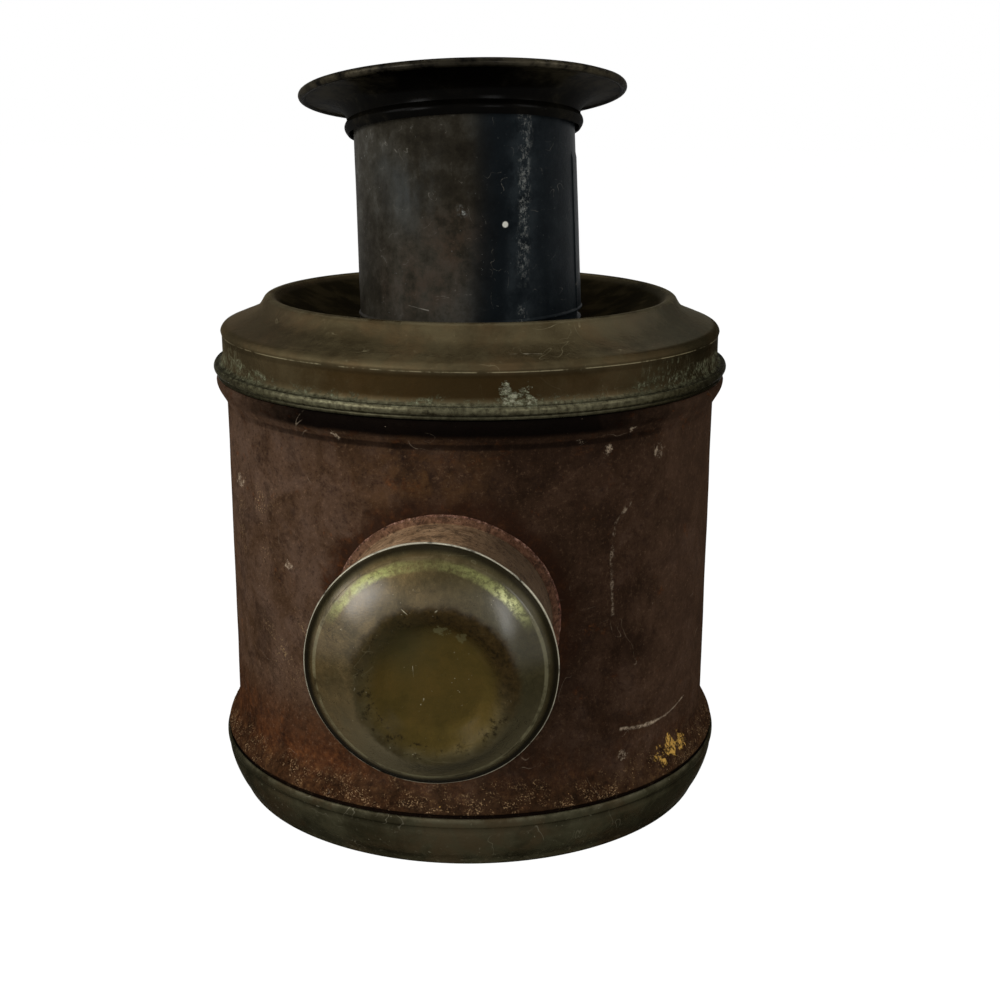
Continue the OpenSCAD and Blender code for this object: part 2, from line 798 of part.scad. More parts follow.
module filler_cap() {
    color("darkgoldenrod")
        translate([-filler_x, 0, filler_top_z + rest_gap])
            difference() {
                translate([0, 0, -filler_skirt_h])
                    knurled(filler_cap_r, filler_skirt_h + brass_t);
                translate([0, 0, -filler_skirt_h - cut_over])
                    cylinder(r = filler_r + rest_gap, h = filler_skirt_h + cut_over);
            }
}

module burner_body() {
    color("darkgoldenrod")
        difference() {
            union() {
                translate([0, 0, fount_top_z - 1])
                    cylinder(r = plug_r, h = burner_flange_z - fount_top_z + 1);
                translate([0, 0, burner_flange_z])
                    cylinder(r = land_r, h = burner_z - burner_flange_z);
                translate([0, 0, burner_z])
                    cylinder(r = burner_r, h = burner_h);
            }
            translate([0, 0, fount_top_z - 2])
                cylinder(r = plug_r - brass_t, h = burner_flange_z - fount_top_z + 2);
            translate([0, 0, burner_z])
                cylinder(r = burner_r - brass_t, h = burner_h + cut_over);
            translate([-sleeve_out_w / 2 - fit_gap, -sleeve_out_d / 2 - fit_gap, fount_top_z])
                cube([sleeve_out_w + 2 * fit_gap, sleeve_out_d + 2 * fit_gap, burner_h]);
            translate([-burner_r - cut_over, spindle_y, spindle_z])
                rotate([0, 90, 0])
                    cylinder(r = spindle_r + fit_gap, h = 2 * (burner_r + cut_over), $fn = 32);
        }
}

// The flat sleeve that guides the wick, with a window for the wheels
module wick_tube() {
    sleeve_z = burner_flange_z - 2;
    sleeve_top_z = burner_top_z + cone_h - 4;
    color("goldenrod")
        difference() {
            translate([-sleeve_out_w / 2, -sleeve_out_d / 2, sleeve_z])
                cube([sleeve_out_w, sleeve_out_d, sleeve_top_z - sleeve_z]);
            translate([-sleeve_w / 2, -sleeve_d / 2, sleeve_z - cut_over])
                cube([sleeve_w, sleeve_d, sleeve_top_z - sleeve_z + 2 * cut_over]);
            translate([-wheel_x - 2, 0, spindle_z - wheel_r - rest_gap])
                cube([2 * wheel_x + 4, sleeve_out_d, 2 * (wheel_r + rest_gap)]);
        }
}

module burner_cone() {
    cone_r = burner_r + fit_gap + fount_t;
    color("darkgoldenrod")
        difference() {
            turned_sheet(concat([[cone_r, burner_top_z - 4]],
                [for (a = [0:10:90]) [cone_r * cos(a), burner_top_z + 1 + (cone_h - 1) * sin(a)]]), fount_t);
            translate([-sleeve_out_w / 2 - 1, -wick_t - 1.5, burner_top_z + cone_h / 2])
                cube([sleeve_out_w + 2, 2 * wick_t + 3, cone_h]);
        }
}

module wick_spindle() {
    color("goldenrod")
        translate([-burner_r - 1, spindle_y, spindle_z])
            rotate([0, 90, 0])
                cylinder(r = spindle_r, h = burner_r + 1 + knob_x + knob_t, $fn = 32);
}

module wick_wheels() {
    color("goldenrod")
        for (x = [-wheel_x, wheel_x])
            translate([x - wheel_t / 2, spindle_y, spindle_z])
                rotate([0, 90, 0])
                    difference() {
                        linear_extrude(wheel_t)
                            polygon([for (i = [0:2 * wheel_teeth - 1])
                                (wheel_r - (i % 2) * wheel_r * 0.25)
                                * [cos(180 * i / wheel_teeth), sin(180 * i / wheel_teeth)]]);
                        translate([0, 0, -cut_over])
                            cylinder(r = spindle_r + fit_gap, h = wheel_t + 2 * cut_over, $fn = 32);
                    }
}

module wick_knob() {
    color("darkgoldenrod")
        translate([knob_x, spindle_y, spindle_z])
            rotate([0, 90, 0])
                difference() {
                    knurled(knob_r, knob_t);
                    translate([0, 0, -cut_over])
                        cylinder(r = spindle_r + fit_gap, h = knob_t + 2 * cut_over, $fn = 32);
                }
}

module wick() {
    color("ivory")
        translate([-wick_w / 2, -wick_t / 2, wick_z])
            cube([wick_w, wick_t, wick_len]);
}

base_pan();
fount_ring();
body_drum();
port_flange();
port_tube();
lens_seat();
lens();
lens_ring();
reflector();
reflector_bracket();
reflector_rivet();
crown_shell();
crown_wire();
crown_collar();
heat_baffle();
baffle_rivets();
chimney_tube();
hat_trumpet();
hat_wire();
port_cap();
fount_shell();
burner_collar();
filler_neck();
filler_cap();
burner_body();
wick_tube();
burner_cone();
wick_spindle();
wick_wheels();
wick_knob();
wick();
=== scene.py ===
"""Looks of an old railway lantern: brown iron drum, tarnished brass, black tin chimney."""
import math

import bmesh
import bpy
from mathutils import Matrix, Vector, noise


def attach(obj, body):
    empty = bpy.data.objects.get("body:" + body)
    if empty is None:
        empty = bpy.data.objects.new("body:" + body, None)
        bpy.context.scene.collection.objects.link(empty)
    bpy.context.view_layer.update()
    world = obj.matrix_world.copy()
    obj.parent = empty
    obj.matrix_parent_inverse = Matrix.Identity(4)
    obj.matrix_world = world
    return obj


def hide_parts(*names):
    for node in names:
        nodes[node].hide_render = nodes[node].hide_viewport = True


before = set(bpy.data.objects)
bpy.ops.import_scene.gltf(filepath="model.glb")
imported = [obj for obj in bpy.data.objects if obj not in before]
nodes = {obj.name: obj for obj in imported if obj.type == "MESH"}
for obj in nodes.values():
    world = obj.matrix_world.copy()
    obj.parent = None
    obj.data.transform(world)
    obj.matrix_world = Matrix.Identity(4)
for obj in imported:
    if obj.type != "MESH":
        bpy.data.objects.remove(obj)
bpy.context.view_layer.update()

MM = 0.001
# Steps round a turned piece
AROUND = 288
# Edges that turn by more degrees than this stay sharp
SHARP_FROM = 38

# Sizes shared by the turned pieces, in millimetres
BODY_R = 100.0
FOOT_EDGE_R = 105.0
FOOT_Z = 24.2
FOOT_RISE = 11.0
SWAGE_Z = 164.1
LEDGE_Z = 174.6
NECK_R = 99.95
CROWN_R = 101.3
SHOULDER_Z = 192.1
LIP_R = 81.5
LIP_Z = 206.1
LIP_ROUND = 3.0
DISH_Z = 194.6
COLLAR_R = 45.39
TUBE_Z = 198.9
TUBE_FOOT_R = 45.1
TUBE_TOP_R = 43.9
TUBE_LEN = 80.5
TUBE_LEAN = 2.0
TUBE_LEAN_WAY = 186.0
HAT_Z = 70.6
HAT_TILT = 10.5
HAT_TILT_WAY = 96.0
HAT_SHIFT = 0.4
HAT_NECK_R = 46.21
HAT_THROAT_R = 46.41
HAT_BEAD_H = 5.4
BRIM_R = 63.6
BRIM_H = 15.2
ROLL_R = 1.65
PORT_Z = 97.0
PORT_R = 39.4
PORT_REACH = 140.0
FLANGE_R = 43.1
CAP_CREASE_R = 40.0
CAP_CREASE_Y = 142.4
CAP_CREST_R = 26.6
CAP_RING_RISE = 6.6
CAP_BOWL_R = 15.0
CAP_BOWL_DEPTH = 4.6
# How far the cap's bowl was pressed off the middle, to the right and up
BOWL_ASIDE = 2.4
BOWL_UP = -3.8
AIR_HOLES = 7
AIR_HOLE_R = 2.5
AIR_HOLE_Z = 48
AIR_HOLE_STEP = 9


def leaned(angle, way):
    """A lean about the X-Y plane towards a direction."""
    turn = math.radians(way)
    return Matrix.Rotation(math.radians(angle), 4, Vector((-math.sin(turn), math.cos(turn), 0)))


def lifted(x, y, z):
    """A shift given in millimetres."""
    return Matrix.Translation(Vector((x, y, z)) * MM)


TUBE_FRAME = lifted(0, 0, TUBE_Z) @ leaned(TUBE_LEAN, TUBE_LEAN_WAY)
HAT_WAY = math.radians(HAT_TILT_WAY)
HAT_FRAME = (TUBE_FRAME @ lifted(0, 0, HAT_Z) @ leaned(HAT_TILT, HAT_TILT_WAY)
             @ lifted(-HAT_SHIFT * math.cos(HAT_WAY), -HAT_SHIFT * math.sin(HAT_WAY), 0))
PORT_FRAME = lifted(0, 0, PORT_Z) @ Matrix.Rotation(math.radians(90), 4, "X")


# Outlines: lists of (radius, height) in millimetres

def held(value, low, high):
    """0 at low and 1 at high, straight between them and held outside."""
    return min(1, max(0, (value - low) / (high - low)))


def arc(centre, radius, first, last, steps):
    """Points on an arc, from the first angle to the last, in degrees."""
    points = []
    for i in range(steps + 1):
        a = math.radians(first + (last - first) * i / steps)
        points.append((centre[0] + radius * math.cos(a), centre[1] + radius * math.sin(a)))
    return points


def eased(points, rounds=2):
    """The same path with its inner corners rounded off."""
    for _ in range(rounds):
        out = [points[0]]
        for (ax, ay), (bx, by) in zip(points, points[1:]):
            out.append((ax * 0.75 + bx * 0.25, ay * 0.75 + by * 0.25))
            out.append((ax * 0.25 + bx * 0.75, ay * 0.25 + by * 0.75))
        out.append(points[-1])
        points = out
    return points


def finer(points, longest):
    """The same path with no stretch longer than the given length."""
    out = [points[0]]
    for (ax, ay), (bx, by) in zip(points, points[1:]):
        parts = max(1, math.ceil(math.hypot(bx - ax, by - ay) / longest))
        for i in range(1, parts + 1):
            out.append((ax + (bx - ax) * i / parts, ay + (by - ay) * i / parts))
    return out


def beside(points, gap):
    """The path moved to its left by the gap."""
    out = []
    for i, (x, y) in enumerate(points):
        ahead = Vector(points[min(i + 1, len(points) - 1)]) - Vector((x, y))
        behind = Vector((x, y)) - Vector(points[max(i - 1, 0)])
        way = Vector((0, 0))
        for step in (ahead, behind):
            if step.length > 1e-9:
                way += step.normalized()
        way.normalize()
        if x == 0:
            out.append((0, y + gap * (1 if way.x > 0 else -1)))
        else:
            out.append((x - way.y * gap, y + way.x * gap))
    return out


def sheet(points, thickness):
    """A closed outline: the path and its copy on the left."""
    return points + beside(points, thickness)[::-1]


def ripple(place, size, seed):
    """Smooth noise from -1 to 1 that changes over the given size in millimetres."""
    x, y, z = (part / size for part in place)
    return noise.noise(Vector((x + seed * 7.3, y - seed * 3.1, z + seed)))


def dented(amount, size, seed, dents):
    """How far a point is pushed out: gentle waves, and round dents as (x, y, z, radius, depth)."""
    def push(x, y, z):
        """The push at one point, in millimetres."""
        out = amount * (ripple((x, y, z), size, seed) + 0.35 * ripple((x, y, z), size * 0.35, seed + 2))
        for dx, dy, dz, radius, depth in dents:
            far = math.dist((x, y, z), (dx, dy, dz)) / radius
            if far < 1:
                out -= depth * (1 - far * far) ** 2
        return out
    return push


def all_round(steps):
    """Angles all the way round, in degrees."""
    return [360 * i / steps for i in range(steps)]


def linked(name, data):
    """A mesh, lamp or camera as an object in the scene."""
    piece = bpy.data.objects.new(name, data)
    bpy.context.scene.collection.objects.link(piece)
    return piece


def smoothed(mesh):
    """Shades the mesh smooth, and keeps its sharp edges."""
    mesh.shade_smooth()
    mesh.set_sharp_from_angle(angle=math.radians(SHARP_FROM))


def ring_faces(rings, length):
    """Faces between closed rings of points, where each ring has the given length."""
    faces = []
    for i in range(rings):
        j = (i + 1) % rings
        for k in range(length):
            m = (k + 1) % length
            faces.append((i * length + k, j * length + k, j * length + m, i * length + m))
    return faces


def turned(name, outline, place=Matrix(), push=None, angles=None, bulge=None):
    """A closed outline turned about its axis, with its dents, as an object in the shared frame."""
    angles = angles or all_round(AROUND)
    verts = []
    for angle in angles:
        c = math.cos(math.radians(angle))
        s = math.sin(math.radians(angle))
        for r, h in outline:
            more = 0
            if push and r > 0:
                more = push(r * c, r * s, h)
            if bulge and r > 0:
                more += bulge(angle, r, h)
            verts.append(place @ (Vector(((r + more) * c, (r + more) * s, h)) * MM))
    return built(name, verts, ring_faces(len(angles), len(outline)))


def built(name, verts, faces):
    """A closed piece whose faces all look outwards."""
    mesh = bpy.data.meshes.new(name)
    mesh.from_pydata(verts, [], faces)
    shape = bmesh.new()
    shape.from_mesh(mesh)
    bmesh.ops.remove_doubles(shape, verts=shape.verts, dist=1e-6)
    bmesh.ops.recalc_face_normals(shape, faces=shape.faces)
    shape.to_mesh(mesh)
    shape.free()
    smoothed(mesh)
    return linked(name, mesh)


def joined(name, pieces):
    """Several pieces as one mesh under one name."""
    shape = bmesh.new()
    for piece in pieces:
        shape.from_mesh(piece.data)
    mesh = bpy.data.meshes.new(name)
    shape.to_mesh(mesh)
    shape.free()
    smoothed(mesh)
    for piece in pieces:
        bpy.data.objects.remove(piece)
    return linked(name, mesh)


def cut(piece, cutter):
    """The piece with the cutter's shape taken out."""
    modifier = piece.modifiers.new("cut", "BOOLEAN")
    modifier.operation = "DIFFERENCE"
    modifier.solver = "EXACT"
    modifier.object = cutter
    shape = bpy.data.meshes.new_from_object(piece.evaluated_get(bpy.context.evaluated_depsgraph_get()))
    piece.modifiers.clear()
    piece.data = shape
    bpy.data.objects.remove(cutter)
    smoothed(shape)


# Materials. A paint lays colours over each other by masks, and colours are linear

# Metal whose reflection does not grow towards its edges
DULL = (0.14, 0.14, 0.14, 1)
# How far a mark's edge is shaken, in metres
SHAKE = 0.009


def feed(tree, socket, value):
    """Links a value to a socket, or sets the socket to a number, a colour or a vector."""
    value = getattr(value, "socket", value)
    if isinstance(value, bpy.types.NodeSocket):
        tree.links.new(value, socket)
    elif socket.type == "RGBA" and len(value) == 3:
        socket.default_value = (*value, 1)
    else:
        socket.default_value = value


def new_node(tree, kind, settings=None, sockets=None):
    """A node with its settings, such as an operation or a ramp's stops, and what goes into its sockets."""
    made = tree.nodes.new(kind)
    for key, value in (settings or {}).items():
        if key == "stops":
            marks = made.color_ramp.elements
            while len(marks) < len(value):
                marks.new(0.5)
            for mark, (at, colour) in zip(marks, value):
                mark.position = at
                mark.color = (*colour, 1)
        else:
            setattr(made, key, value)
    for key, value in (sockets or {}).items():
        feed(tree, made.inputs[key], value)
    return made


class Value:
    """A value in a material's nodes. Arithmetic on it adds Math nodes."""

    def __init__(self, paint, socket):
        self.paint = paint
        self.socket = socket

    def maths(self, operation, first, second):
        """The result of a Math node."""
        return self.paint.value("ShaderNodeMath", {"operation": operation}, {0: first, 1: second})

    def __add__(self, other):
        return self.maths("ADD", self, other)

    def __radd__(self, other):
        return self.maths("ADD", other, self)

    def __sub__(self, other):
        return self.maths("SUBTRACT", self, other)

    def __rsub__(self, other):
        return self.maths("SUBTRACT", other, self)

    def __mul__(self, other):
        return self.maths("MULTIPLY", self, other)

    def __rmul__(self, other):
        return self.maths("MULTIPLY", other, self)

    def __pow__(self, other):
        return self.maths("POWER", self, other)

    def __rpow__(self, other):
        return self.maths("POWER", other, self)

    def high(self, other):
        """The larger of the two."""
        return self.maths("MAXIMUM", self, other)

    def size(self):
        """The value without its sign."""
        return self.maths("ABSOLUTE", self, 0.0)


class Paint:
    """A material with one Principled shader, and what its patterns are made of."""

    def __init__(self, name, **constants):
        self.material = bpy.data.materials.new(name)
        self.material.use_nodes = True
        self.tree = self.material.node_tree
        self.tree.nodes.clear()
        self.shader = new_node(self.tree, "ShaderNodeBsdfPrincipled")
        new_node(self.tree, "ShaderNodeOutputMaterial", {}, {"Surface": self.shader.outputs[0]})
        self.shade(**constants)
        self.place = self.value("ShaderNodeTexCoord", {}, {}, "Object")
        parts = new_node(self.tree, "ShaderNodeSeparateXYZ", {}, {0: self.place})
        self.x, self.y, self.z = [Value(self, part) for part in parts.outputs]
        self.radius = (self.x * self.x + self.y * self.y) ** 0.5

    def value(self, kind, settings, sockets, output=0):
        """One output of a new node."""
        return Value(self, new_node(self.tree, kind, settings, sockets).outputs[output])

    def vector(self, operation, first, second):
        """The result of a Vector Math node: a number for a distance or a dot product, else a vector."""
        into = "Scale" if operation == "SCALE" else 1
        output = "Value" if operation in ("DISTANCE", "DOT_PRODUCT") else 0
        return self.value("ShaderNodeVectorMath", {"operation": operation}, {0: first, into: second}, output)

    def shade(self, **values):
        """Feeds values into the shader."""
        for key, value in values.items():
            feed(self.tree, self.shader.inputs[key.replace("_", " ")], value)

    def noise(self, size, detail=4, rough=0.55, at=None, warp=0.0):
        """Noise from 0 to 1 whose blotches are about the given size in millimetres."""
        return self.value("ShaderNodeTexNoise", {}, {
            "Vector": at or self.place, "Scale": 1000 / size, "Detail": detail, "Roughness": rough,
            "Distortion": warp})

    def step(self, value, low, high):
        """0 below low, 1 above high, and smooth between."""
        return self.value("ShaderNodeMapRange", {"interpolation_type": "SMOOTHSTEP"}, {
            "Value": value, "From Min": low, "From Max": high})

    def band(self, value, low, high, soft):
        """1 between low and high, and fading out over the soft width."""
        return self.step(value, low - soft, low) * (1 - self.step(value, high, high + soft))

    def hairs(self, size, thin):
        """Thin wandering lines about the given size apart, in millimetres."""
        return 1 - self.step((self.noise(size, 2, 0.5, warp=0.8) - 0.5).size(), 0, thin)

    def specks(self, size, much, grouped):
        """Small specks in loose groups; a higher value gives more of them."""
        grains = self.step(self.noise(size, 3, 0.6), 0.76 - much, 0.80 - much)
        return grains * self.step(self.noise(grouped, 3, 0.6), 0.46, 0.60)

    def stretched(self, x, y, z):
        """The place with each direction scaled."""
        return self.vector("MULTIPLY", self.place, (x, y, z))

    def near(self, x, y, z, radius):
        """1 at a point given in millimetres, and 0 from the radius outwards."""
        away = self.vector("DISTANCE", self.warped(), (x * MM, y * MM, z * MM))
        return 1 - self.step(away, 0, radius * MM)

    def patch(self, x, y, z, radius):
        """1 inside a torn patch about a point given in millimetres."""
        if not hasattr(self, "torn"):
            self.torn = self.noise(3.4, 5, 0.75)
        return self.step(self.near(x, y, z, radius) + (self.torn - 0.5) * 2.2, 0.50, 0.62)

    def warped(self):
        """The place, shaken a little so that marks get ragged edges."""
        if not hasattr(self, "shaken"):
            shake = self.value("ShaderNodeTexNoise", {}, {"Vector": self.place, "Scale": 160, "Detail": 3}, 1)
            moved = self.vector("ADD", self.place, self.vector("SCALE", shake, SHAKE))
            self.shaken = self.vector("SUBTRACT", moved, (SHAKE / 2, SHAKE / 2, SHAKE / 2))
        return self.shaken

    def line(self, first, last, width):
        """1 along a straight scratch between two points in millimetres."""
        start = Vector(first) * MM
        way = Vector(last) * MM - start
        from_start = self.vector("SUBTRACT", self.place, start)
        along = self.vector("DOT_PRODUCT", from_start, way / way.length_squared)
        share = self.value("ShaderNodeClamp", {}, {"Value": along})
        away = self.vector("DISTANCE", from_start, self.vector("SCALE", way, share))
        wobble = self.noise(7, 3) * (width * 3 * MM)
        return 1 - self.step(away - wobble + width * 1.5 * MM, 0, width * MM)

    def highest(self, masks):
        """The largest of several masks."""
        found = masks[0]
        for mask in masks[1:]:
            found = found.high(mask)
        return found

    def patches(self, *spots):
        """Several torn patches, each as (x, y, z, radius)."""
        return self.highest([self.patch(*spot) for spot in spots])

    def scratches(self, *marks):
        """Several straight scratches, each as (first point, last point, width)."""
        return self.highest([self.line(*mark) for mark in marks])

    def from_port(self):
        """Distance from the port's axis, in metres."""
        up = self.z - PORT_Z * MM
        return (self.x * self.x + up * up) ** 0.5

    def blend(self, mask, first, second):
        """The first colour where the mask is 0, the second where it is 1."""
        return self.value("ShaderNodeMix", {"data_type": "RGBA"}, {0: mask, 6: first, 7: second}, 2)

    def ramp(self, value, stops):
        """A colour that follows a value, through stops given as (value, colour)."""
        return self.value("ShaderNodeValToRGB", {"stops": stops}, {0: value})

    def bumps(self, *layers):
        """Bumps on bumps, each as (height, depth in millimetres)."""
        found = None
        for height, depth in layers:
            sockets = {"Height": height, "Distance": depth * MM, "Strength": 1.0}
            if found:
                sockets["Normal"] = found
            found = self.value("ShaderNodeBump", {}, sockets)
        return found

    def lay(self, mask, colour):
        """Lays a colour over the tone so far, where the mask is 1."""
        self.tone = self.blend(mask, self.tone, colour)

    def finish(self, **values):
        """Feeds the tone and the other values into the shader."""
        self.shade(Base_Color=self.tone, **values)
        return self.material


def drum_ground(p, broad, mid, fine, left):
    """Brown oxide in blotches, with painted light and a grey bloom on the left, painted shade right of the
    middle, painted light on the right edge, and redder at the lower left.
    """
    runs = p.noise(13, 6, 0.72, at=p.stretched(1, 1, 0.2))
    p.tone = p.ramp(broad * 0.35 + mid * 0.6 + runs * 0.05, [
        (0.36, (0.012, 0.0066, 0.0038)), (0.45, (0.026, 0.0140, 0.0078)), (0.53, (0.038, 0.0205, 0.0118)),
        (0.64, (0.056, 0.033, 0.0215))])
    # Painted light on the lit left side: a lighter brown all over it, and greyer blotches above the foot that
    # are partly an oxide bloom and partly painted light
    bloom_and_light_left = left * p.step(broad * 0.45 + mid * 0.5 + runs * 0.05, 0.40, 0.60) * p.step(p.z, 0.040, 0.085)
    p.lay(left * 0.45, (0.054, 0.029, 0.015))
    p.lay(bloom_and_light_left * 0.70, (0.066, 0.041, 0.028))
    hem = (1 - p.step(p.z + (broad - 0.5) * 0.030, 0.040, 0.066)) * left
    p.lay(hem * 0.8, p.ramp(mid * 0.5 + fine * 0.5, [
        (0.38, (0.018, 0.0070, 0.0034)), (0.54, (0.046, 0.0160, 0.0058)), (0.66, (0.080, 0.030, 0.010))]))
    crisp = p.noise(1.6, 7, 0.85)
    p.lay(p.step(crisp, 0.55, 0.62) * 0.5, (0.115, 0.068, 0.040))
    p.lay(p.step(1 - crisp, 0.54, 0.63) * 0.6, (0.006, 0.0032, 0.0024))
    p.lay(p.step(p.noise(8, 6, 0.78), 0.54, 0.66) * 0.5, (0.010, 0.006, 0.005))
    warm = p.near(-8, -100, 152, 42) * p.step(p.noise(9, 6, 0.75), 0.42, 0.62)
    p.lay(warm * 0.55, (0.062, 0.030, 0.0115))
    dark_blotch = p.step(p.noise(20, 7, 0.78, warp=0.6), 0.50, 0.60)
    p.lay(dark_blotch * 0.40, (0.009, 0.0048, 0.0030))
    # Painted shade on the drum right of the middle, between its lit sides
    mid_right_shade = p.band(p.x + (broad - 0.5) * 0.03, 0.022, 0.060, 0.022) * 0.38
    p.lay(mid_right_shade, (0.0085, 0.0046, 0.0030))
    # Painted light on the drum's right edge, where the right lamp falls
    right = p.step(p.x + (mid - 0.5) * 0.02, 0.062, 0.092) * p.step(p.z, 0.030, 0.060)
    p.lay(right * 0.35, (0.058, 0.034, 0.022))


def drum_rust(p, mid, fine, left):
    """Rust low down, below the swage and round the port, and crumbs of it on the foot; painted shade round
    the port and a painted shadow along the foot's lower edge.
    """
    low = 1 - p.step(p.z + mid * 0.04, 0.036, 0.080)
    rust = p.step(p.noise(10, 7, 0.76), 0.42, 0.62) * low * (0.35 + left * 0.65)
    rust = rust.high(p.step(p.noise(12, 6, 0.78), 0.60, 0.70) * 0.5)
    streaks = p.step(p.noise(6, 6, 0.75, at=p.stretched(1, 1, 2)), 0.54, 0.66)
    rust = rust.high(streaks * p.step(p.z, 0.155, 0.172) * 0.7)
    from_port = p.from_port() + p.step(p.y, 0, 0.001)
    rust_and_shade_ring = 1 - p.step(from_port + (mid - 0.5) * 0.02, 0.0435, 0.0520)
    rust = rust.high(rust_and_shade_ring * p.step(p.noise(4, 6, 0.75), 0.46, 0.62) * (0.15 + left * 0.5))
    # A dark red-brown ring round the port: partly rust, partly painted shade where the port meets the drum
    p.lay(rust_and_shade_ring * 0.75, (0.0150, 0.0065, 0.0038))
    p.lay(rust * 0.9, p.ramp(fine, [
        (0.34, (0.018, 0.0060, 0.0026)), (0.50, (0.052, 0.0170, 0.0062)), (0.68, (0.150, 0.056, 0.018))]))
    brink = 1 - p.step(p.z + (mid - 0.5) * 0.020, 0.027, 0.038)
    p.lay(brink * 0.75, p.ramp(mid * 0.4 + fine * 0.6, [
        (0.40, (0.0080, 0.0042, 0.0022)), (0.54, (0.030, 0.0150, 0.0070)), (0.68, (0.100, 0.056, 0.022))]))
    crumbs = p.step(p.noise(0.7, 4, 0.75), 0.55, 0.62) * p.step(p.noise(6, 4, 0.7), 0.49, 0.58)
    crumbs = (low * left * p.specks(0.8, 0.10, 11) * 0.35).high(brink * crumbs * 0.8)
    p.lay(crumbs, (0.30, 0.195, 0.100))
    # Painted shadow: a dark line at the foot's lower edge, in the gap above the base's rim
    seam = (1 - p.step(p.z, 0.0232, 0.0237)) * (1 - p.step(p.radius, 0.1049, 0.1052))
    p.lay(seam * 0.9, (0.003, 0.002, 0.0015))
    ochre = p.specks(0.9, 0.17, 14) * p.near(-80, -60, 126, 30).high(p.near(-64, -77, 80, 24))
    p.lay(ochre * 0.8, (0.24, 0.16, 0.078))
    return rust


def drum_shade_bands(p, mid):
    """Painted shade along the swage and under the crown, darkest in front."""
    middle = 1 - p.step(p.x.size() + (mid - 0.5) * 0.03, 0.052, 0.094)
    under_crown_shade = p.step(p.z + (mid - 0.5) * 0.003, 0.1660, 0.1695).high(p.band(p.z, 0.1638, 0.1650, 0.0014) * 0.75)
    under_crown_shade = under_crown_shade.high(p.step(p.z + (mid - 0.5) * 0.02, 0.152, 0.168) * 0.35)
    p.lay(under_crown_shade * (0.22 + middle * 0.76), (0.0022, 0.0016, 0.0013))


def drum_marks(p, fine, grit):
    """A long scrape and a bent scratch on the right, fine hairs, worn spots and a splash of ochre paint."""
    beaded = 0.5 + p.step(p.noise(1.6, 3), 0.44, 0.58) * 0.5
    places = [(65.6, -75.4, 48.2), (70.9, -70.5, 46.7), (76.3, -64.7, 45.7), (84.0, -54.3, 45.6),
              (91.4, -40.5, 48.7)]
    scrapes = p.scratches(*zip(places, places[1:], (0.9, 1.0, 0.8, 0.5))) * beaded
    places = [(66.9, -74.3, 138.8), (61.5, -78.9, 131.6), (60.5, -79.7, 117.1), (61.4, -78.9, 96)]
    for first, last in zip(places, places[1:]):
        scrapes = scrapes.high(p.line(first, last, 1.0) * p.step(fine, 0.44, 0.60) * 0.55)
    scrapes = scrapes.high(p.scratches(((-85, -52.5, 131), (-70, -71.3, 127), 0.25),
                                       ((-92, -38, 112), (-77, -63.6, 98), 0.22)))
    scrapes = scrapes.high(p.hairs(30, 0.003) * p.step(p.noise(20, 2), 0.58, 0.64) * 0.3)
    worn = p.patches((66.1, -75.1, 167.4, 3.6), (77.6, -63.1, 156.5, 6.5), (-38.2, -92.4, 170, 6.5),
                     (-86, -50, 138, 7), (-62, -78, 112, 5), (58, -81, 160, 4.5),
                     (48, -87.7, 166, 3.6), (66, -75, 36, 6)) * p.step(grit + fine, 0.90, 1.08)
    pale = scrapes.high(worn * p.step(fine, 0.40, 0.60) * 0.75)
    pale = pale.high(p.specks(1.4, 0.02, 30)).high(p.near(77.7, -63, 95.7, 1.6))
    p.lay(pale * p.step(grit, 0.34, 0.56), (0.30, 0.235, 0.165))
    threads = p.step(p.noise(1.3, 5, 0.8, at=p.stretched(1, 1, 0.6)), 0.45, 0.55)
    splash = p.patches((85.4, -52.4, 31, 9), (81, -58.5, 29.5, 8), (89.5, -46, 31, 8)) * threads
    p.lay(splash, (0.46, 0.27, 0.060))


def drum_iron():
    """Sheet iron with a brown oxide: painted light and a grey bloom on the left, rusty at the foot, painted
    shade under the crown, scraped.
    """
    p = Paint("drum_iron", Specular_IOR_Level=0.0, Specular_Tint=DULL)
    broad = p.noise(55, 5, 0.6)
    mid = p.noise(15, 7, 0.7, warp=0.5)
    fine = p.noise(2.8, 6, 0.76)
    grit = p.noise(0.9, 3, 0.75)
    left = p.step(0 - p.x + (mid - 0.5) * 0.05, 0.000, 0.055)
    drum_ground(p, broad, mid, fine, left)
    rust = drum_rust(p, mid, fine, left)
    drum_shade_bands(p, mid)
    drum_marks(p, fine, grit)
    bumps = p.bumps((mid, 0.45), (fine + rust * 0.9, 0.22), (grit, 0.09))
    return p.finish(Metallic=0.12, Roughness=0.46 + fine * 0.26 + rust * 0.2, Normal=bumps)


def old_brass(name, dark, olive, bright, copper, **constants):
    """Tarnished brass: a dark film, rubbed places and copper blotches."""
    p = Paint(name, Specular_IOR_Level=0.0, Specular_Tint=DULL, **constants)
    broad = p.noise(42, 6, 0.62, warp=0.4)
    mid = p.noise(11, 7, 0.7)
    fine = p.noise(2.0, 6, 0.75)
    p.tone = p.blend(p.step(broad * 0.6 + mid * 0.4, 0.38, 0.60), dark, olive)
    p.lay(p.step(p.noise(28, 5, 0.66, warp=0.5), 0.44, 0.66) * 0.6, copper)
    p.lay(p.step(fine, 0.58, 0.78) * 0.5, bright)
    p.lay(p.step(1 - fine, 0.56, 0.76) * 0.6, dark)
    p.lay(p.hairs(17, 0.004) * p.step(p.noise(13, 2), 0.50, 0.60) * 0.7, bright)
    return p, broad, mid, fine


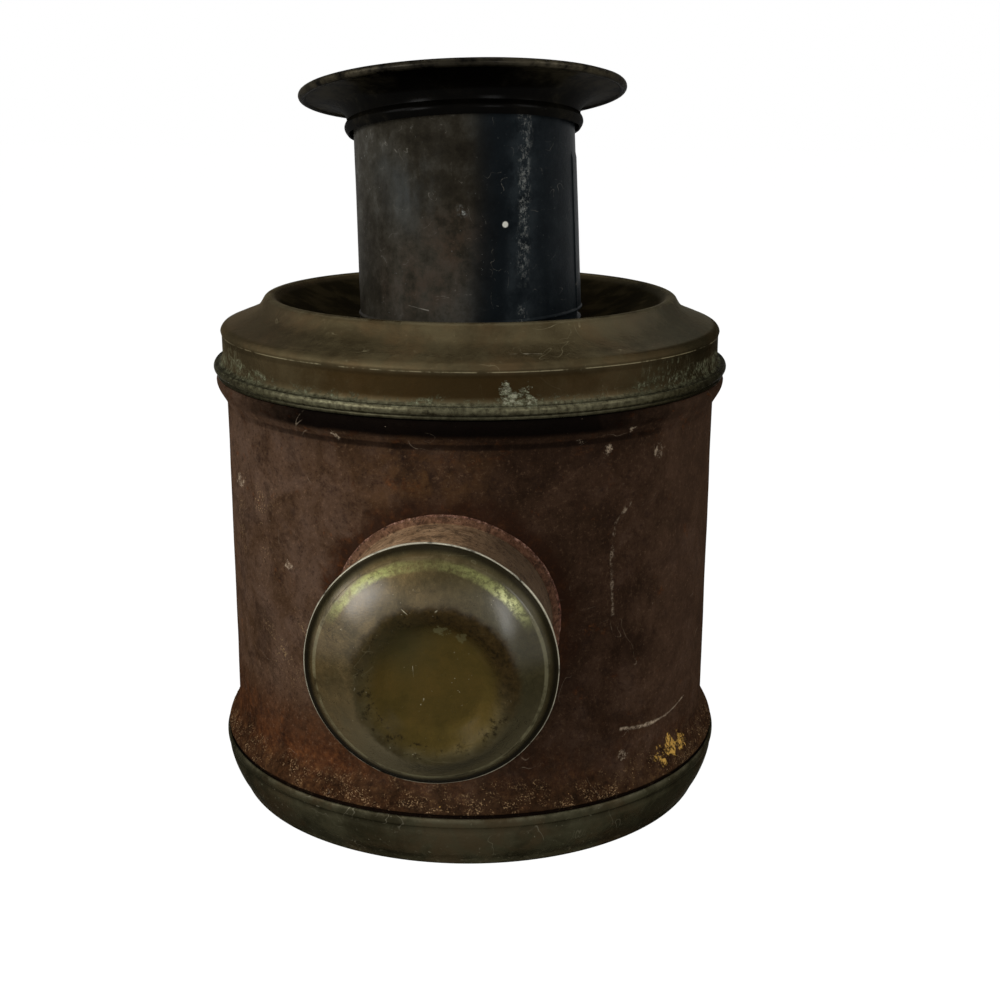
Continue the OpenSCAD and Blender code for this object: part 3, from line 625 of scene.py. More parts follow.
def crown_verdigris(p, mid, on_wall, skirt):
    """A green crust that creeps up from the bead, furthest at the sides, and a patch of it in front."""
    ends = p.step(p.x.size(), 0.045, 0.098)
    reach = 0.1822 + ends * 0.0045 + (mid - 0.5) * 0.008
    low = (1 - p.step(p.z - reach, -0.0008, 0.0012)) * p.step(p.z, 0.1792, 0.1806) * on_wall
    cloud = p.noise(1.5, 6, 0.8) * 0.6 + p.noise(7, 4, 0.7) * 0.4 - (1 - ends) * 0.035
    crust = low * p.step(cloud, 0.47, 0.58)
    patch = p.patches((22.5, -99.2, 183.4, 7), (29.5, -97.4, 183.4, 7), (26, -98.3, 183.2, 6))
    patch = patch * p.step(p.noise(1.1, 5, 0.8, at=p.stretched(0.4, 0.4, 1.3)), 0.42, 0.56)
    streaks = p.step(p.noise(2.4, 6, 0.8, at=p.stretched(1, 1, 0.5)), 0.52, 0.62)
    sides = p.near(80, -62, 184, 24).high(p.near(-90, -46, 184, 20)) * skirt * streaks
    return crust.high(patch).high(sides * 0.8), patch


def crown_brass():
    """The crown: copper brown skirt, olive shoulder with painted light at both ends, dark dish, and verdigris
    on its lower bead.
    """
    p, _, mid, fine = old_brass(
        "crown_brass", dark=(0.029, 0.0220, 0.0110), olive=(0.051, 0.0405, 0.0210),
        bright=(0.13, 0.112, 0.066), copper=(0.056, 0.0360, 0.0170))
    on_wall = p.step(p.radius, 0.0985, 0.1002)
    skirt = on_wall * (1 - p.step(p.z, 0.1900, 0.1920)) * p.step(p.z, 0.1805, 0.1830)
    front = 1 - p.step(p.x.size() + (mid - 0.5) * 0.06, 0.020, 0.085)
    p.lay(skirt * (0.35 + front * 0.55), (0.0155, 0.0088, 0.0027))
    # Painted light at both ends of the shoulder and cove: a lighter, greyer tone where the side lamps fall
    outer = p.step(p.x.size(), 0.038, 0.088)
    shoulder = p.blend(p.step(p.x, -0.02, 0.03), (0.088, 0.068, 0.043), (0.086, 0.082, 0.062))
    p.lay(outer * (1 - on_wall) * 0.45, shoulder)
    # Painted light on the left of the skirt
    p.lay(on_wall * p.step(0 - p.x, 0.040, 0.090) * 0.3, (0.080, 0.062, 0.034))
    bead = on_wall * (1 - p.step(p.z, 0.1802, 0.1815))
    p.lay(bead * 0.85, p.ramp(fine, [
        (0.35, (0.010, 0.009, 0.005)), (0.68, (0.098, 0.093, 0.056))]))
    lower_bead = on_wall * (1 - p.step(p.z, 0.1763, 0.1768))
    p.lay(lower_bead * 0.6, (0.010, 0.009, 0.005))
    verdigris, patch = crown_verdigris(p, mid, on_wall, skirt)
    p.lay(verdigris * 0.85, p.ramp(fine, [
        (0.30, (0.040, 0.042, 0.022)), (0.55, (0.110, 0.115, 0.070)), (0.75, (0.27, 0.28, 0.205))]))
    p.lay(patch * p.step(fine, 0.42, 0.60) * 0.6, (0.25, 0.245, 0.18))
    shaded = on_wall * p.step(p.x, 0.045, 0.092) * (1 - verdigris)
    p.lay(shaded * 0.55, (0.010, 0.008, 0.004))
    # A painted highlight along the crease between skirt and shoulder, and painted shade under it
    edge = p.band(p.z, 0.19165, 0.19180, 0.0002) * on_wall
    p.lay(edge * p.step(mid, 0.44, 0.56) * 0.8, (0.22, 0.19, 0.115))
    under = p.band(p.z, 0.1898, 0.1912, 0.0006) * on_wall
    p.lay(under * 0.25, (0.008, 0.006, 0.003))
    inside = 1 - p.step(p.radius, 0.0765, 0.0805)
    drips = p.step(p.noise(12, 4, 0.55, at=p.stretched(1, 1, 0.3)), 0.44, 0.66) * 0.6
    p.lay(inside * 0.93, p.blend(drips, (0.0075, 0.0060, 0.0028), (0.030, 0.0225, 0.0105)))
    # A painted highlight along the top of the rolled lip
    lip = p.band(p.radius, 0.0790, 0.0835, 0.0008) * p.step(p.z, 0.2050, 0.2058)
    p.lay(lip * p.step(mid, 0.35, 0.55) * 0.6, (0.085, 0.072, 0.042))
    scrapes = p.scratches(((-84, -53, 195.5), (-73, -63, 198.8), 0.4), ((44, -86, 197), (62, -66, 202), 0.25),
                          ((20, -93, 197.5), (34, -89, 197), 0.45), ((50, -76, 201), (57, -79, 197), 0.3))
    p.lay(scrapes, (0.26, 0.235, 0.17))
    bumps = p.bumps((mid, 0.30), (fine + verdigris * 1.2, 0.10))
    return p.finish(Metallic=(0.66 - verdigris * 0.6) * (1 - inside), Normal=bumps,
                    Roughness=0.46 + fine * 0.22 + verdigris * 0.25 - bead * 0.20 - edge * 0.1)


def base_brass():
    """The base: dark olive, with a painted highlight on the rim, painted shade in the groove, spots, and
    scuffs where it stands.
    """
    p, _, mid, fine = old_brass(
        "base_brass", dark=(0.016, 0.0140, 0.0075), olive=(0.036, 0.033, 0.019),
        bright=(0.11, 0.10, 0.070), copper=(0.040, 0.027, 0.014))
    # A painted highlight along the rolled rim
    rim = p.step(p.z, 0.0198, 0.0212)
    p.lay(rim * p.step(mid, 0.42, 0.60) * 0.5, (0.066, 0.060, 0.038))
    # Painted shade in the groove under the rim
    groove = p.band(p.z, 0.0165, 0.0182, 0.0008)
    p.lay(groove * 0.15, (0.004, 0.0036, 0.002))
    scuffs = p.step(p.noise(2.4, 6, 0.78, at=p.stretched(1, 1, 2.5)), 0.56, 0.68)
    scuffs = scuffs * (1 - p.step(p.z, 0.001, 0.007))
    p.lay(scuffs * 0.6, (0.15, 0.13, 0.085))
    spots = p.specks(1.6, 0.10, 14)
    p.lay(spots * 0.7, (0.13, 0.125, 0.085))
    bumps = p.bumps((mid, 0.32), (fine + spots * 0.5, 0.10))
    return p.finish(Metallic=0.65, Roughness=0.40 + fine * 0.26, Normal=bumps)


def cap_ring(p, ring, up, mid, fine, cracks):
    """The ring round the bowl: grey olive, with painted light on its lower side, browner on the left, and
    painted shade on the right.
    """
    p.lay(ring * 0.7, p.ramp(mid * 0.5 + fine * 0.5, [
        (0.34, (0.0135, 0.0112, 0.0050)), (0.48, (0.026, 0.0210, 0.0095)), (0.62, (0.050, 0.040, 0.0185))]))
    # Painted light on the ring's lower side
    lit_low_side = 1 - p.step(up, -0.030, 0.000)
    p.lay(ring * lit_low_side * 0.8, (0.074, 0.062, 0.037))
    warm_side = p.step(0 - p.x + up * 0.6, -0.006, 0.026)
    p.lay(ring * warm_side * (0.15 + p.step(mid, 0.34, 0.64) * 0.30), (0.084, 0.054, 0.022))
    # Painted shade on the ring's right side
    right_side_shade = p.step(p.x - up * 0.4, -0.004, 0.024)
    p.lay(ring * right_side_shade * 0.5, (0.020, 0.018, 0.0085))
    p.lay(ring * cracks * 0.6, (0.008, 0.006, 0.003))


def cap_bowl(p, face, bowl, worn_edge, high_side, broad, mid, fine):
    """The bowl: painted shade on its slope, darkest above, a warm floor with painted shade at its upper left,
    flakes and a pale smear.
    """
    # Painted shade on the bowl's slope, darkest on its upper side
    slope_shade = p.band(worn_edge, 0.0205, 0.0278, 0.0030) * face
    p.lay(slope_shade * (0.12 + high_side * 0.80), p.ramp(fine, [
        (0.35, (0.0085, 0.0052, 0.0016)), (0.65, (0.026, 0.0155, 0.0048))]))
    floor = (1 - p.step(worn_edge + high_side * 0.004, 0.0205, 0.0275)) * face
    p.lay(floor * 0.9, p.ramp(broad * 0.5 + mid * 0.5, [
        (0.36, (0.026, 0.0185, 0.0046)), (0.50, (0.038, 0.0258, 0.0055)), (0.64, (0.049, 0.0305, 0.0065))]))
    # Painted shade: a greyer, darker olive on the upper left of the bowl
    cool = p.near(-8, -144.4, 108, 18) * face
    p.lay(cool * 0.6, (0.024, 0.0215, 0.0090))
    flakes = p.step(p.noise(3.2, 6, 0.8), 0.54, 0.60) * p.band(bowl, 0.0225, 0.0262, 0.0015) * face
    p.lay(flakes * 0.75, (0.0065, 0.0045, 0.0018))
    smear = p.patch(5.5, -145.6, 112.5, 5).high(p.patch(12, -146, 110.5, 4) * 0.7)
    p.lay(smear * 0.55, (0.085, 0.078, 0.036))
    return floor


def cap_edges(p, face, up, out, mid, fine):
    """A painted green reflection in an arc above the bowl, the dark wall, and painted highlights on the rim
    and along the crease.
    """
    radius = p.from_port()
    arc_up = p.step(up - p.x.size() * 0.25, 0.006, 0.018)
    streaky = p.step(p.noise(4, 6, 0.75) * 0.6 + fine * 0.4, 0.40, 0.58)
    # A painted reflection: a yellow-green arc on the top of the ring by the crease, brightest at the upper
    # right
    green = arc_up * p.band(radius + (mid - 0.5) * 0.003, 0.0370, 0.0384, 0.0016) * face
    sides = 0.45 + p.step(p.x.size(), 0.004, 0.018) * 0.55
    p.lay(green * (0.25 + streaky * 0.65) * sides, (0.130, 0.135, 0.048))
    p.lay(p.near(24, -144, 120, 11) * green * streaky, (0.36, 0.36, 0.17))
    wall = 1 - p.step(out, 0.1400, 0.1420)
    p.lay(wall * 0.92, (0.0060, 0.0048, 0.0022))
    # A painted highlight along the edge of the rolled rim
    rim = p.step(radius, 0.0436, 0.0438) * (1 - p.step(out, 0.1388, 0.1393))
    p.lay(rim * p.step(mid, 0.34, 0.50) * 0.9, (0.34, 0.315, 0.24))
    # A painted highlight along the crease, weaker at the top
    crease = p.band(out, 0.1418, 0.1427, 0.0005) * p.band(radius, 0.0393, 0.0402, 0.0004)
    p.lay(crease * p.step(mid, 0.38, 0.56) * (0.32 - arc_up * 0.25), (0.20, 0.185, 0.11))


def cap_nicks(p, face, fine):
    """Nicks in the bowl and a curly scratch at its foot, on the plane of the bowl's floor."""
    nick = p.near(17.5, -145.2, 80.5, 1.2).high(p.line((17.2, -145.2, 80), (16.4, -145, 76.8), 0.35))
    nick = nick.high(p.near(-2, -144.4, 86, 0.8)).high(p.line((-5.5, -144.4, 99), (-5.2, -144.4, 95), 0.16))
    curl = [(1, 73), (3.5, 70.5), (5.5, 73.5), (9, 74), (10.5, 70.5), (12.5, 69.5)]
    strokes = list(zip(curl, curl[1:])) + [((4.5, 69), (6, 72)), ((-1, 71.5), (0.5, 73))]
    for (x, z), (end_x, end_z) in strokes:
        nick = nick.high(p.line((x, -144.5, z), (end_x, -144.5, end_z), 0.2) * 0.6)
    nick = nick.high(p.specks(0.9, 0.05, 12) * face)
    nick = nick.high(p.line((-9.5, -148.6, 121.5), (-6.5, -148.8, 119), 0.25))
    nick = nick.high(p.near(3.5, -148.8, 119.5, 0.9))
    p.lay(nick * p.step(fine, 0.30, 0.48), (0.32, 0.29, 0.20))


def cap_brass():
    """The cap: nearly black wall, a painted green reflection by the crease, grey olive ring, and a warm bowl
    in a slope of painted shade.
    """
    p, broad, mid, fine = old_brass(
        "cap_brass", dark=(0.020, 0.015, 0.006), olive=(0.046, 0.038, 0.018),
        bright=(0.12, 0.105, 0.058), copper=(0.050, 0.032, 0.012), Coat_Roughness=0.24)
    up = p.z - PORT_Z * MM
    out = 0 - p.y
    face = p.step(out, 0.1405, 0.1425)
    # Distance from the middle of the bowl, which lies off the middle of the cap
    aside = p.x - BOWL_ASIDE * MM
    above = up - BOWL_UP * MM
    bowl = (aside * aside + above * above) ** 0.5
    worn_edge = bowl + (mid - 0.5) * 0.007
    high_side = p.step(above + aside * 0.35, -0.014, 0.020)
    ring = p.step(worn_edge, 0.0270, 0.0298) * face
    cracks = p.hairs(5, 0.010) * p.step(p.noise(9, 3), 0.48, 0.58)
    cap_ring(p, ring, up, mid, fine, cracks)
    floor = cap_bowl(p, face, bowl, worn_edge, high_side, broad, mid, fine)
    cap_edges(p, face, up, out, mid, fine)
    cap_nicks(p, face, fine)
    bumps = p.bumps((mid, 0.50), (fine - cracks * 0.5, 0.12))
    return p.finish(Metallic=0.6, Normal=bumps,
                    Coat_Weight=0.02 + ring * p.band(up, 0.010, 0.026, 0.010) * 0.38,
                    Roughness=0.30 + fine * 0.20 + floor * 0.22)


def port_copper():
    """The port's tube and flange: brown copper with painted shade on the right, and a pink and red solder
    edge.
    """
    p = Paint("port_copper", Specular_IOR_Level=0.08, Specular_Tint=DULL)
    mid = p.noise(8, 7, 0.75)
    fine = p.noise(1.8, 6, 0.78)
    grit = p.noise(0.7, 3, 0.75)
    rings = p.noise(3.0, 5, 0.75, at=p.stretched(0.35, 2.2, 0.35))
    p.tone = p.ramp(mid * 0.4 + fine * 0.3 + rings * 0.3, [
        (0.36, (0.050, 0.029, 0.015)), (0.46, (0.135, 0.080, 0.042)), (0.54, (0.23, 0.145, 0.080)),
        (0.66, (0.38, 0.25, 0.150))])
    # Painted shade on the right side of the port
    right = p.step(p.x, -0.004, 0.028)
    p.lay(right * 0.82, (0.032, 0.021, 0.013))
    wide = p.from_port()
    root = p.step(wide, 0.0394, 0.0400)
    p.lay(root * 0.8, p.ramp(fine, [
        (0.34, (0.022, 0.0085, 0.0045)), (0.52, (0.070, 0.030, 0.017)), (0.68, (0.145, 0.070, 0.042))]))
    rust = p.step(wide + (fine - 0.5) * 0.004, 0.0418, 0.0428)
    p.lay(rust * p.step(p.noise(2.4, 6, 0.8), 0.38, 0.54) * 0.9, p.ramp(fine, [
        (0.34, (0.090, 0.036, 0.025)), (0.52, (0.185, 0.088, 0.062)), (0.68, (0.38, 0.24, 0.18))]))
    red = rust * p.near(41, -100, 103, 14)
    p.lay(red * 0.8, (0.16, 0.022, 0.016))
    pits = p.step(p.noise(1.6, 4, 0.7), 0.56, 0.64).high(p.step(p.noise(6, 6, 0.8), 0.52, 0.60) * 0.7)
    p.lay(pits * 0.8, (0.012, 0.007, 0.005))
    bumps = p.bumps((mid, 0.30), (fine + rust, 0.22), (grit, 0.08))
    return p.finish(Metallic=0.10, Roughness=0.55 + fine * 0.25, Normal=bumps)


def black_tin():
    """Black japanned tin: brown grey where it has oxidised on the left, blue black on the right, with a
    painted reflection and a painted highlight strip in front.
    """
    p = Paint("black_tin", Specular_IOR_Level=0.03, Specular_Tint=DULL)
    broad = p.noise(34, 6, 0.64, at=p.stretched(1, 1, 0.35))
    mid = p.noise(9, 7, 0.74)
    fine = p.noise(1.7, 6, 0.78)
    side = p.step(p.x + (broad - 0.5) * 0.020 + (mid - 0.5) * 0.008, -0.001, 0.0150)
    warm = p.ramp(mid * 0.45 + broad * 0.55, [
        (0.36, (0.0055, 0.0046, 0.0032)), (0.46, (0.0125, 0.0106, 0.0072)), (0.54, (0.0240, 0.0215, 0.0162)),
        (0.64, (0.050, 0.048, 0.041))])
    cool = p.ramp(mid * 0.35 + broad * 0.65, [
        (0.38, (0.0028, 0.0038, 0.0046)), (0.52, (0.0062, 0.0082, 0.0094)), (0.66, (0.013, 0.0160, 0.0175))])
    p.tone = p.blend(side, warm, cool)
    brown = p.near(-14, -43, 212, 30).high(p.near(-2, -45, 228, 24)) * p.step(mid, 0.40, 0.60) * (1 - side)
    p.lay(brown * 0.65, (0.030, 0.0185, 0.0115))
    # A painted reflection: a blue-grey patch high on the left of the tube
    blue = p.near(-20, -40, 252, 26) * p.step(broad, 0.40, 0.62) * (1 - side)
    p.lay(blue * 0.7, (0.034, 0.038, 0.038))
    p.lay(p.step(fine, 0.58, 0.78) * 0.4, (0.050, 0.045, 0.036))
    p.lay(p.step(1 - fine, 0.58, 0.78) * 0.5, (0.003, 0.003, 0.003))
    ahead = 1 - p.step(p.y, -0.02, 0.0)
    strip = p.band(p.x + (broad - 0.5) * 0.010, 0.0100, 0.0150, 0.0060) * ahead
    p.lay(strip * 0.5, (0.0026, 0.0034, 0.0040))
    # A painted highlight: a blue-grey strip down the front right of the tube
    highlight_strip = p.band(p.x + (broad - 0.5) * 0.008, 0.0205, 0.0260, 0.0045) * ahead
    p.lay(highlight_strip * p.step(mid, 0.36, 0.60) * 0.45, (0.0175, 0.0215, 0.0235))
    column = p.band(p.x + (mid - 0.5) * 0.004, 0.0234, 0.0246, 0.0024) * ahead
    chips = column * p.step(p.noise(2.2, 6, 0.85, at=p.stretched(1, 1, 0.7)), 0.50, 0.58)
    chips = chips * p.step(p.noise(16, 2, at=p.stretched(0.3, 0.3, 1)), 0.44, 0.56)
    chips = chips.high(p.specks(1.2, 0.07, 20) * 0.7)
    chips = chips.high(p.near(1.1, -44.4, 241.7, 3.4) * p.step(fine, 0.45, 0.6))
    bare = p.blend(p.step(fine, 0.35, 0.7), (0.030, 0.036, 0.038), (0.20, 0.20, 0.18))
    p.lay(chips * 0.9, bare)
    dot = p.vector("DISTANCE", p.place, (0.0171, -0.0404, 0.2373))
    p.lay(1 - p.step(dot, 0.0009, 0.0014), (0.42, 0.41, 0.36))
    scrape = p.line((-20, -40.6, 206), (-12, -43.6, 204.6), 0.3)
    scrape = scrape.high(p.hairs(15, 0.004) * p.step(mid, 0.52, 0.6) * 0.5)
    p.lay(scrape, (0.13, 0.12, 0.10))
    bumps = p.bumps((mid, 0.20), (fine + chips * 0.6, 0.08))
    return p.finish(Metallic=0.12, Normal=bumps,
                    Roughness=0.36 + fine * 0.22 + (1 - side) * 0.12)


def hat_black():
    """The hat: nearly black, with painted shade in front, painted light in brown at both ends and a painted
    highlight on its rolled edge.
    """
    p = Paint("hat_black", Specular_IOR_Level=0.0, Specular_Tint=DULL, Coat_Weight=0.03, Coat_Roughness=0.22)
    mid = p.noise(10, 7, 0.72)
    fine = p.noise(1.7, 6, 0.76)
    p.tone = p.ramp(mid * 0.7 + fine * 0.3, [
        (0.36, (0.0016, 0.0014, 0.0010)), (0.52, (0.0034, 0.0030, 0.0021)), (0.70, (0.012, 0.0100, 0.0065))])
    p.lay(p.step(p.noise(5, 6, 0.76), 0.58, 0.70) * 0.4, (0.018, 0.0155, 0.010))
    p.lay(p.specks(1.1, 0.04, 18) * 0.5, (0.12, 0.11, 0.085))
    # The hat's middle lies off the lantern's axis
    ahead = p.y - 0.0022
    across = p.x + 0.0033
    wide = (across * across + ahead * ahead * 1.035) ** 0.5
    ends = p.step(across.size() + (mid - 0.5) * 0.012, 0.016, 0.052)
    # Painted shade: nearly black between the ends
    p.lay((1 - ends) * 0.85, (0.0006, 0.0005, 0.0004))
    # Painted light: a browner tone at both ends
    brown = ends * p.step(wide, 0.0470, 0.0600) * p.step(mid, 0.30, 0.62)
    p.lay(brown * 0.8, (0.030, 0.025, 0.0150))
    # A painted highlight along the rolled edge, strongest at the ends
    roll = p.step(wide, 0.0625, 0.0636)
    p.lay(roll * (0.3 + ends * 0.7) * p.step(mid, 0.36, 0.60), (0.040, 0.034, 0.022))
    bumps = p.bumps((mid, 0.20), (fine, 0.06))
    return p.finish(Metallic=0.1 + roll * 0.5, Roughness=0.28 + fine * 0.18, Normal=bumps)


def loose_rust():
    """Crumbs of rust and dried dirt."""
    p = Paint("loose_rust", Specular_IOR_Level=0.1)
    mid = p.noise(3.5, 4, 0.7)
    fine = p.noise(0.8, 3, 0.7)
    p.tone = p.ramp(mid * 0.5 + fine * 0.5, [
        (0.40, (0.014, 0.0060, 0.0030)), (0.51, (0.060, 0.026, 0.0100)), (0.62, (0.23, 0.140, 0.065))])
    return p.finish(Roughness=0.75 + fine * 0.2, Normal=p.bumps((fine, 0.05)))


def plain_metal(name, low, high, rough, size=8.0):
    """An inner piece's metal: two tones, light scratches and a soft grain."""
    p = Paint(name, IOR=1.5)
    mid = p.noise(size, 5, 0.62)
    fine = p.noise(size * 0.16, 4, 0.7)
    p.tone = p.blend(p.step(mid * 0.6 + fine * 0.4, 0.36, 0.66), low, high)
    return p.finish(Metallic=1.0, Roughness=rough + fine * 0.16, Normal=p.bumps((fine, 0.06)))


def lens_glass():
    """Clear old glass with dust on it."""
    p = Paint("lens_glass", IOR=1.5, Transmission_Weight=1.0)
    dust = p.noise(3, 5, 0.7)
    bumps = p.bumps((p.noise(14, 2), 0.03))
    p.tone = p.blend(dust, (0.93, 0.96, 0.94), (0.82, 0.86, 0.82))
    return p.finish(Roughness=0.02 + dust * 0.06, Normal=bumps)


def wick_cotton():
    """A flat woven tape with a scorched top."""
    p = Paint("wick_cotton", Sheen_Weight=0.4)
    weave = p.value("ShaderNodeTexWave", {"wave_type": "BANDS", "bands_direction": "Z"}, {
        "Vector": p.place, "Scale": 900, "Distortion": 1.5, "Detail": 2}, 1)
    rib = p.value("ShaderNodeTexWave", {"wave_type": "BANDS", "bands_direction": "X"}, {
        "Vector": p.place, "Scale": 420, "Distortion": 0.6}, 1)
    cloth = weave * 0.5 + rib * 0.5
    p.tone = p.blend(cloth, (0.42, 0.36, 0.25), (0.72, 0.66, 0.52))
    p.lay(p.step(p.z + p.noise(3, 3) * 0.004, 0.080, 0.088), (0.014, 0.011, 0.009))
    return p.finish(Roughness=0.9 - cloth * 0.1, Normal=p.bumps((cloth, 0.12)))


IRON = drum_iron()
CROWN = crown_brass()
BASE = base_brass()
CAP = cap_brass()
PORT = port_copper()
TUBE = black_tin()
HAT = hat_black()
WIRE = plain_metal("iron_wire", (0.14, 0.13, 0.12), (0.30, 0.28, 0.26), 0.42)
TIN = plain_metal("bright_tin", (0.42, 0.41, 0.38), (0.68, 0.67, 0.64), 0.22, size=14)
BURNER = plain_metal("burner_brass", (0.20, 0.13, 0.05), (0.48, 0.34, 0.14), 0.34, size=6)
GLASS = lens_glass()
RUST = loose_rust()
COTTON = wick_cotton()

# The solids that stay as they are, by the material they get
PAINTED = [
    (BASE, ("fount_ring",)),
    (PORT, ("lens_seat", "lens_ring")),
    (GLASS, ("lens",)),
    (TIN, ("reflector", "reflector_bracket", "reflector_rivet", "baffle_rivets")),
    (WIRE, ("crown_wire", "hat_wire")),
    (TUBE, ("crown_collar", "heat_baffle")),
    (BURNER, ("fount_shell", "burner_collar", "filler_neck", "filler_cap", "burner_body", "wick_tube",
              "burner_cone", "wick_spindle", "wick_wheels", "wick_knob")),
    (COTTON, ("wick",)),
]
for paint, names in PAINTED:
    for name in names:
        mesh = nodes[name].data
        mesh.materials.clear()
        mesh.materials.append(paint)


def fit(piece, paint, body, slot, *replaced):
    """Gives a finished piece its material and its body, and hides the nodes that it stands for."""
    piece.data.materials.clear()
    piece.data.materials.append(paint)
    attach(piece, body)
    if replaced:
        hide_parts(*replaced)


# The drum: skirt, swelling foot, wall, swage and neck, with its port and its air holes cut out

def drum_outline():
    """The drum's outer side, from the skirt to the neck."""
    points = [(104.1, 19.4), (104.1, 22.6), (104.8, 23.3)]
    for i in range(17):
        t = i / 16
        flare = (FOOT_EDGE_R - BODY_R) * ((1 + math.cos(math.pi * t)) / 4 + (1 - t) / 2)
        points.append((BODY_R + flare, FOOT_Z + FOOT_RISE * t))
    points += finer([(BODY_R, 40), (BODY_R, SWAGE_Z - 1.5)], 5)
    for i in range(17):
        t = i / 16
        bulge = 0.5 * math.sin(math.pi / 2 * t) + 0.25 * (1 - math.cos(math.pi * t))
        points.append((BODY_R + 4 * bulge, SWAGE_Z + 9.1 * t))
    points += [(103.8, 173.9), (103.2, LEDGE_Z), (NECK_R, LEDGE_Z), (NECK_R, 180), (NECK_R, 186.6)]
    return points


drum_dents = [(-70, -72, 70, 26, 0.6), (82, -58, 120, 30, 0.5), (-30, -95, 150, 22, 0.5),
              (60, -80, 60, 20, 0.5), (0, 100, 110, 30, 0.7), (-98, 10, 90, 24, 0.6),
              (95, 30, 140, 26, 0.5)]
drum_waves = dented(0.22, 34, 1.0, drum_dents)


def drum_push(x, y, z):
    """Dents fade out at the foot, at the neck and round the port."""
    fade = held(z, 27, 41) * held(z, 172, 162)
    if y < 0:
        fade *= held(math.hypot(x, z - PORT_Z), 42, 54)
    return drum_waves(x, y, z) * fade


def plug_shape(name, radius, near, far, place, steps):
    """A plain cylinder along its own Z, used to cut a hole."""
    return turned(name, [(0, near), (radius, near), (radius, far), (0, far)], place, angles=all_round(steps))


drum = turned("drum", sheet(drum_outline(), 0.8), push=drum_push, angles=all_round(240))
cutters = [plug_shape("port_cutter", PORT_R + 0.05, 60, 120, PORT_FRAME, 96)]
for i in range(AIR_HOLES):
    turn = Matrix.Rotation(math.radians((i - AIR_HOLES // 2) * AIR_HOLE_STEP), 4, "Z")
    hole_place = turn @ lifted(0, 90, AIR_HOLE_Z) @ Matrix.Rotation(math.radians(-90), 4, "X")
    cutters.append(plug_shape("hole_cutter", AIR_HOLE_R, 0, 20, hole_place, 24))
cut(drum, joined("cutters", cutters))
fit(drum, IRON, "case", "drum_iron", "body_drum")


# Crumbs of rust on the drum's foot

def foot_strip():
    """The outer skin of the drum's foot, as one open strip to strew crumbs on."""
    rows = [(r + 0.02, z) for r, z in drum_outline() if FOOT_Z <= z < 40]
    count = 144
    verts = []
    for i in range(count):
        a = 2 * math.pi * i / count
        verts += [(r * math.cos(a) * MM, r * math.sin(a) * MM, z * MM) for r, z in rows]
    n = len(rows)
    faces = []
    for i in range(count):
        j = (i + 1) % count
        faces += [(i * n + k, j * n + k, j * n + k + 1, i * n + k + 1) for k in range(n - 1)]
    mesh = bpy.data.meshes.new("foot_strip")
    mesh.from_pydata(verts, [], faces)
    return linked("foot_strip", mesh)


CRUMB_FLATNESS = 0.55


def strewn(name, surface, paint, density, smallest, largest, top, seed):
    """Crumbs strewn on a surface, fewer towards the top and gathered in patches, as one mesh.

    The density is in crumbs a square metre, and the sizes and the top are in millimetres."""
    group = bpy.data.node_groups.new(name, "GeometryNodeTree")
    kinds = {"Surface": "Geometry", "Density": "Float", "Smallest": "Float", "Largest": "Float",
             "Top": "Float", "Seed": "Int", "Paint": "Material"}
    sockets = {}
    for label, kind in kinds.items():
        made = group.interface.new_socket(label, in_out="INPUT", socket_type="NodeSocket" + kind)
        sockets[label] = made.identifier
    group.interface.new_socket("Crumbs", in_out="OUTPUT", socket_type="NodeSocketGeometry")

    def node(kind, settings=None, inputs=None):
        """A node of this group."""
        return new_node(group, kind, settings, inputs)

    def smooth(value, low, high, start=0, end=1):
        """A smooth change from start at low to end at high."""
        made = node("ShaderNodeMapRange", {"interpolation_type": "SMOOTHSTEP"}, {
            "Value": value, "From Min": low, "From Max": high, "To Min": start, "To Max": end})
        return made.outputs[0]

    def product(first, second):
        """Two values multiplied."""
        return node("ShaderNodeMath", {"operation": "MULTIPLY"}, {0: first, 1: second}).outputs[0]

    given = node("NodeGroupInput").outputs
    place = node("GeometryNodeInputPosition")
    height = node("ShaderNodeSeparateXYZ", inputs={0: place.outputs[0]}).outputs[2]
    below = smooth(height, FOOT_Z * MM, given["Top"], 1, 0)
    cloud = node("ShaderNodeTexNoise", inputs={"Scale": 90, "Detail": 4})
    gathered = smooth(cloud.outputs[0], 0.44, 0.60)
    amount = product(product(below, gathered), given["Density"])
    points = node("GeometryNodeDistributePointsOnFaces", {"distribute_method": "RANDOM"}, {
        "Mesh": given["Surface"], "Density": amount, "Seed": given["Seed"]})
    crumb = node("GeometryNodeMeshIcoSphere", inputs={"Radius": 1, "Subdivisions": 1})
    random_size = node("FunctionNodeRandomValue", {"data_type": "FLOAT"}, {
        2: given["Smallest"], 3: given["Largest"], "Seed": given["Seed"]})
    size = random_size.outputs[1]
    flat = node("ShaderNodeCombineXYZ", inputs={0: size, 1: size, 2: product(size, CRUMB_FLATNESS)})
    instances = node("GeometryNodeInstanceOnPoints", inputs={
        "Points": points.outputs["Points"], "Rotation": points.outputs["Rotation"],
        "Instance": crumb.outputs["Mesh"], "Scale": flat.outputs[0]})
    real = node("GeometryNodeRealizeInstances", inputs={0: instances.outputs[0]})
    painted = node("GeometryNodeSetMaterial", inputs={
        "Geometry": real.outputs[0], "Material": given["Paint"]})
    node("NodeGroupOutput", inputs={0: painted.outputs[0]})

    modifier = surface.modifiers.new(name, "NODES")
    modifier.node_group = group
    for label, value in (("Density", density), ("Smallest", smallest * MM), ("Largest", largest * MM),
                         ("Top", top * MM), ("Seed", seed), ("Paint", paint)):
        modifier[sockets[label]] = value
    mesh = bpy.data.meshes.new_from_object(surface.evaluated_get(bpy.context.evaluated_depsgraph_get()))
    bpy.data.objects.remove(surface)
    mesh.name = name
    return linked(name, mesh)


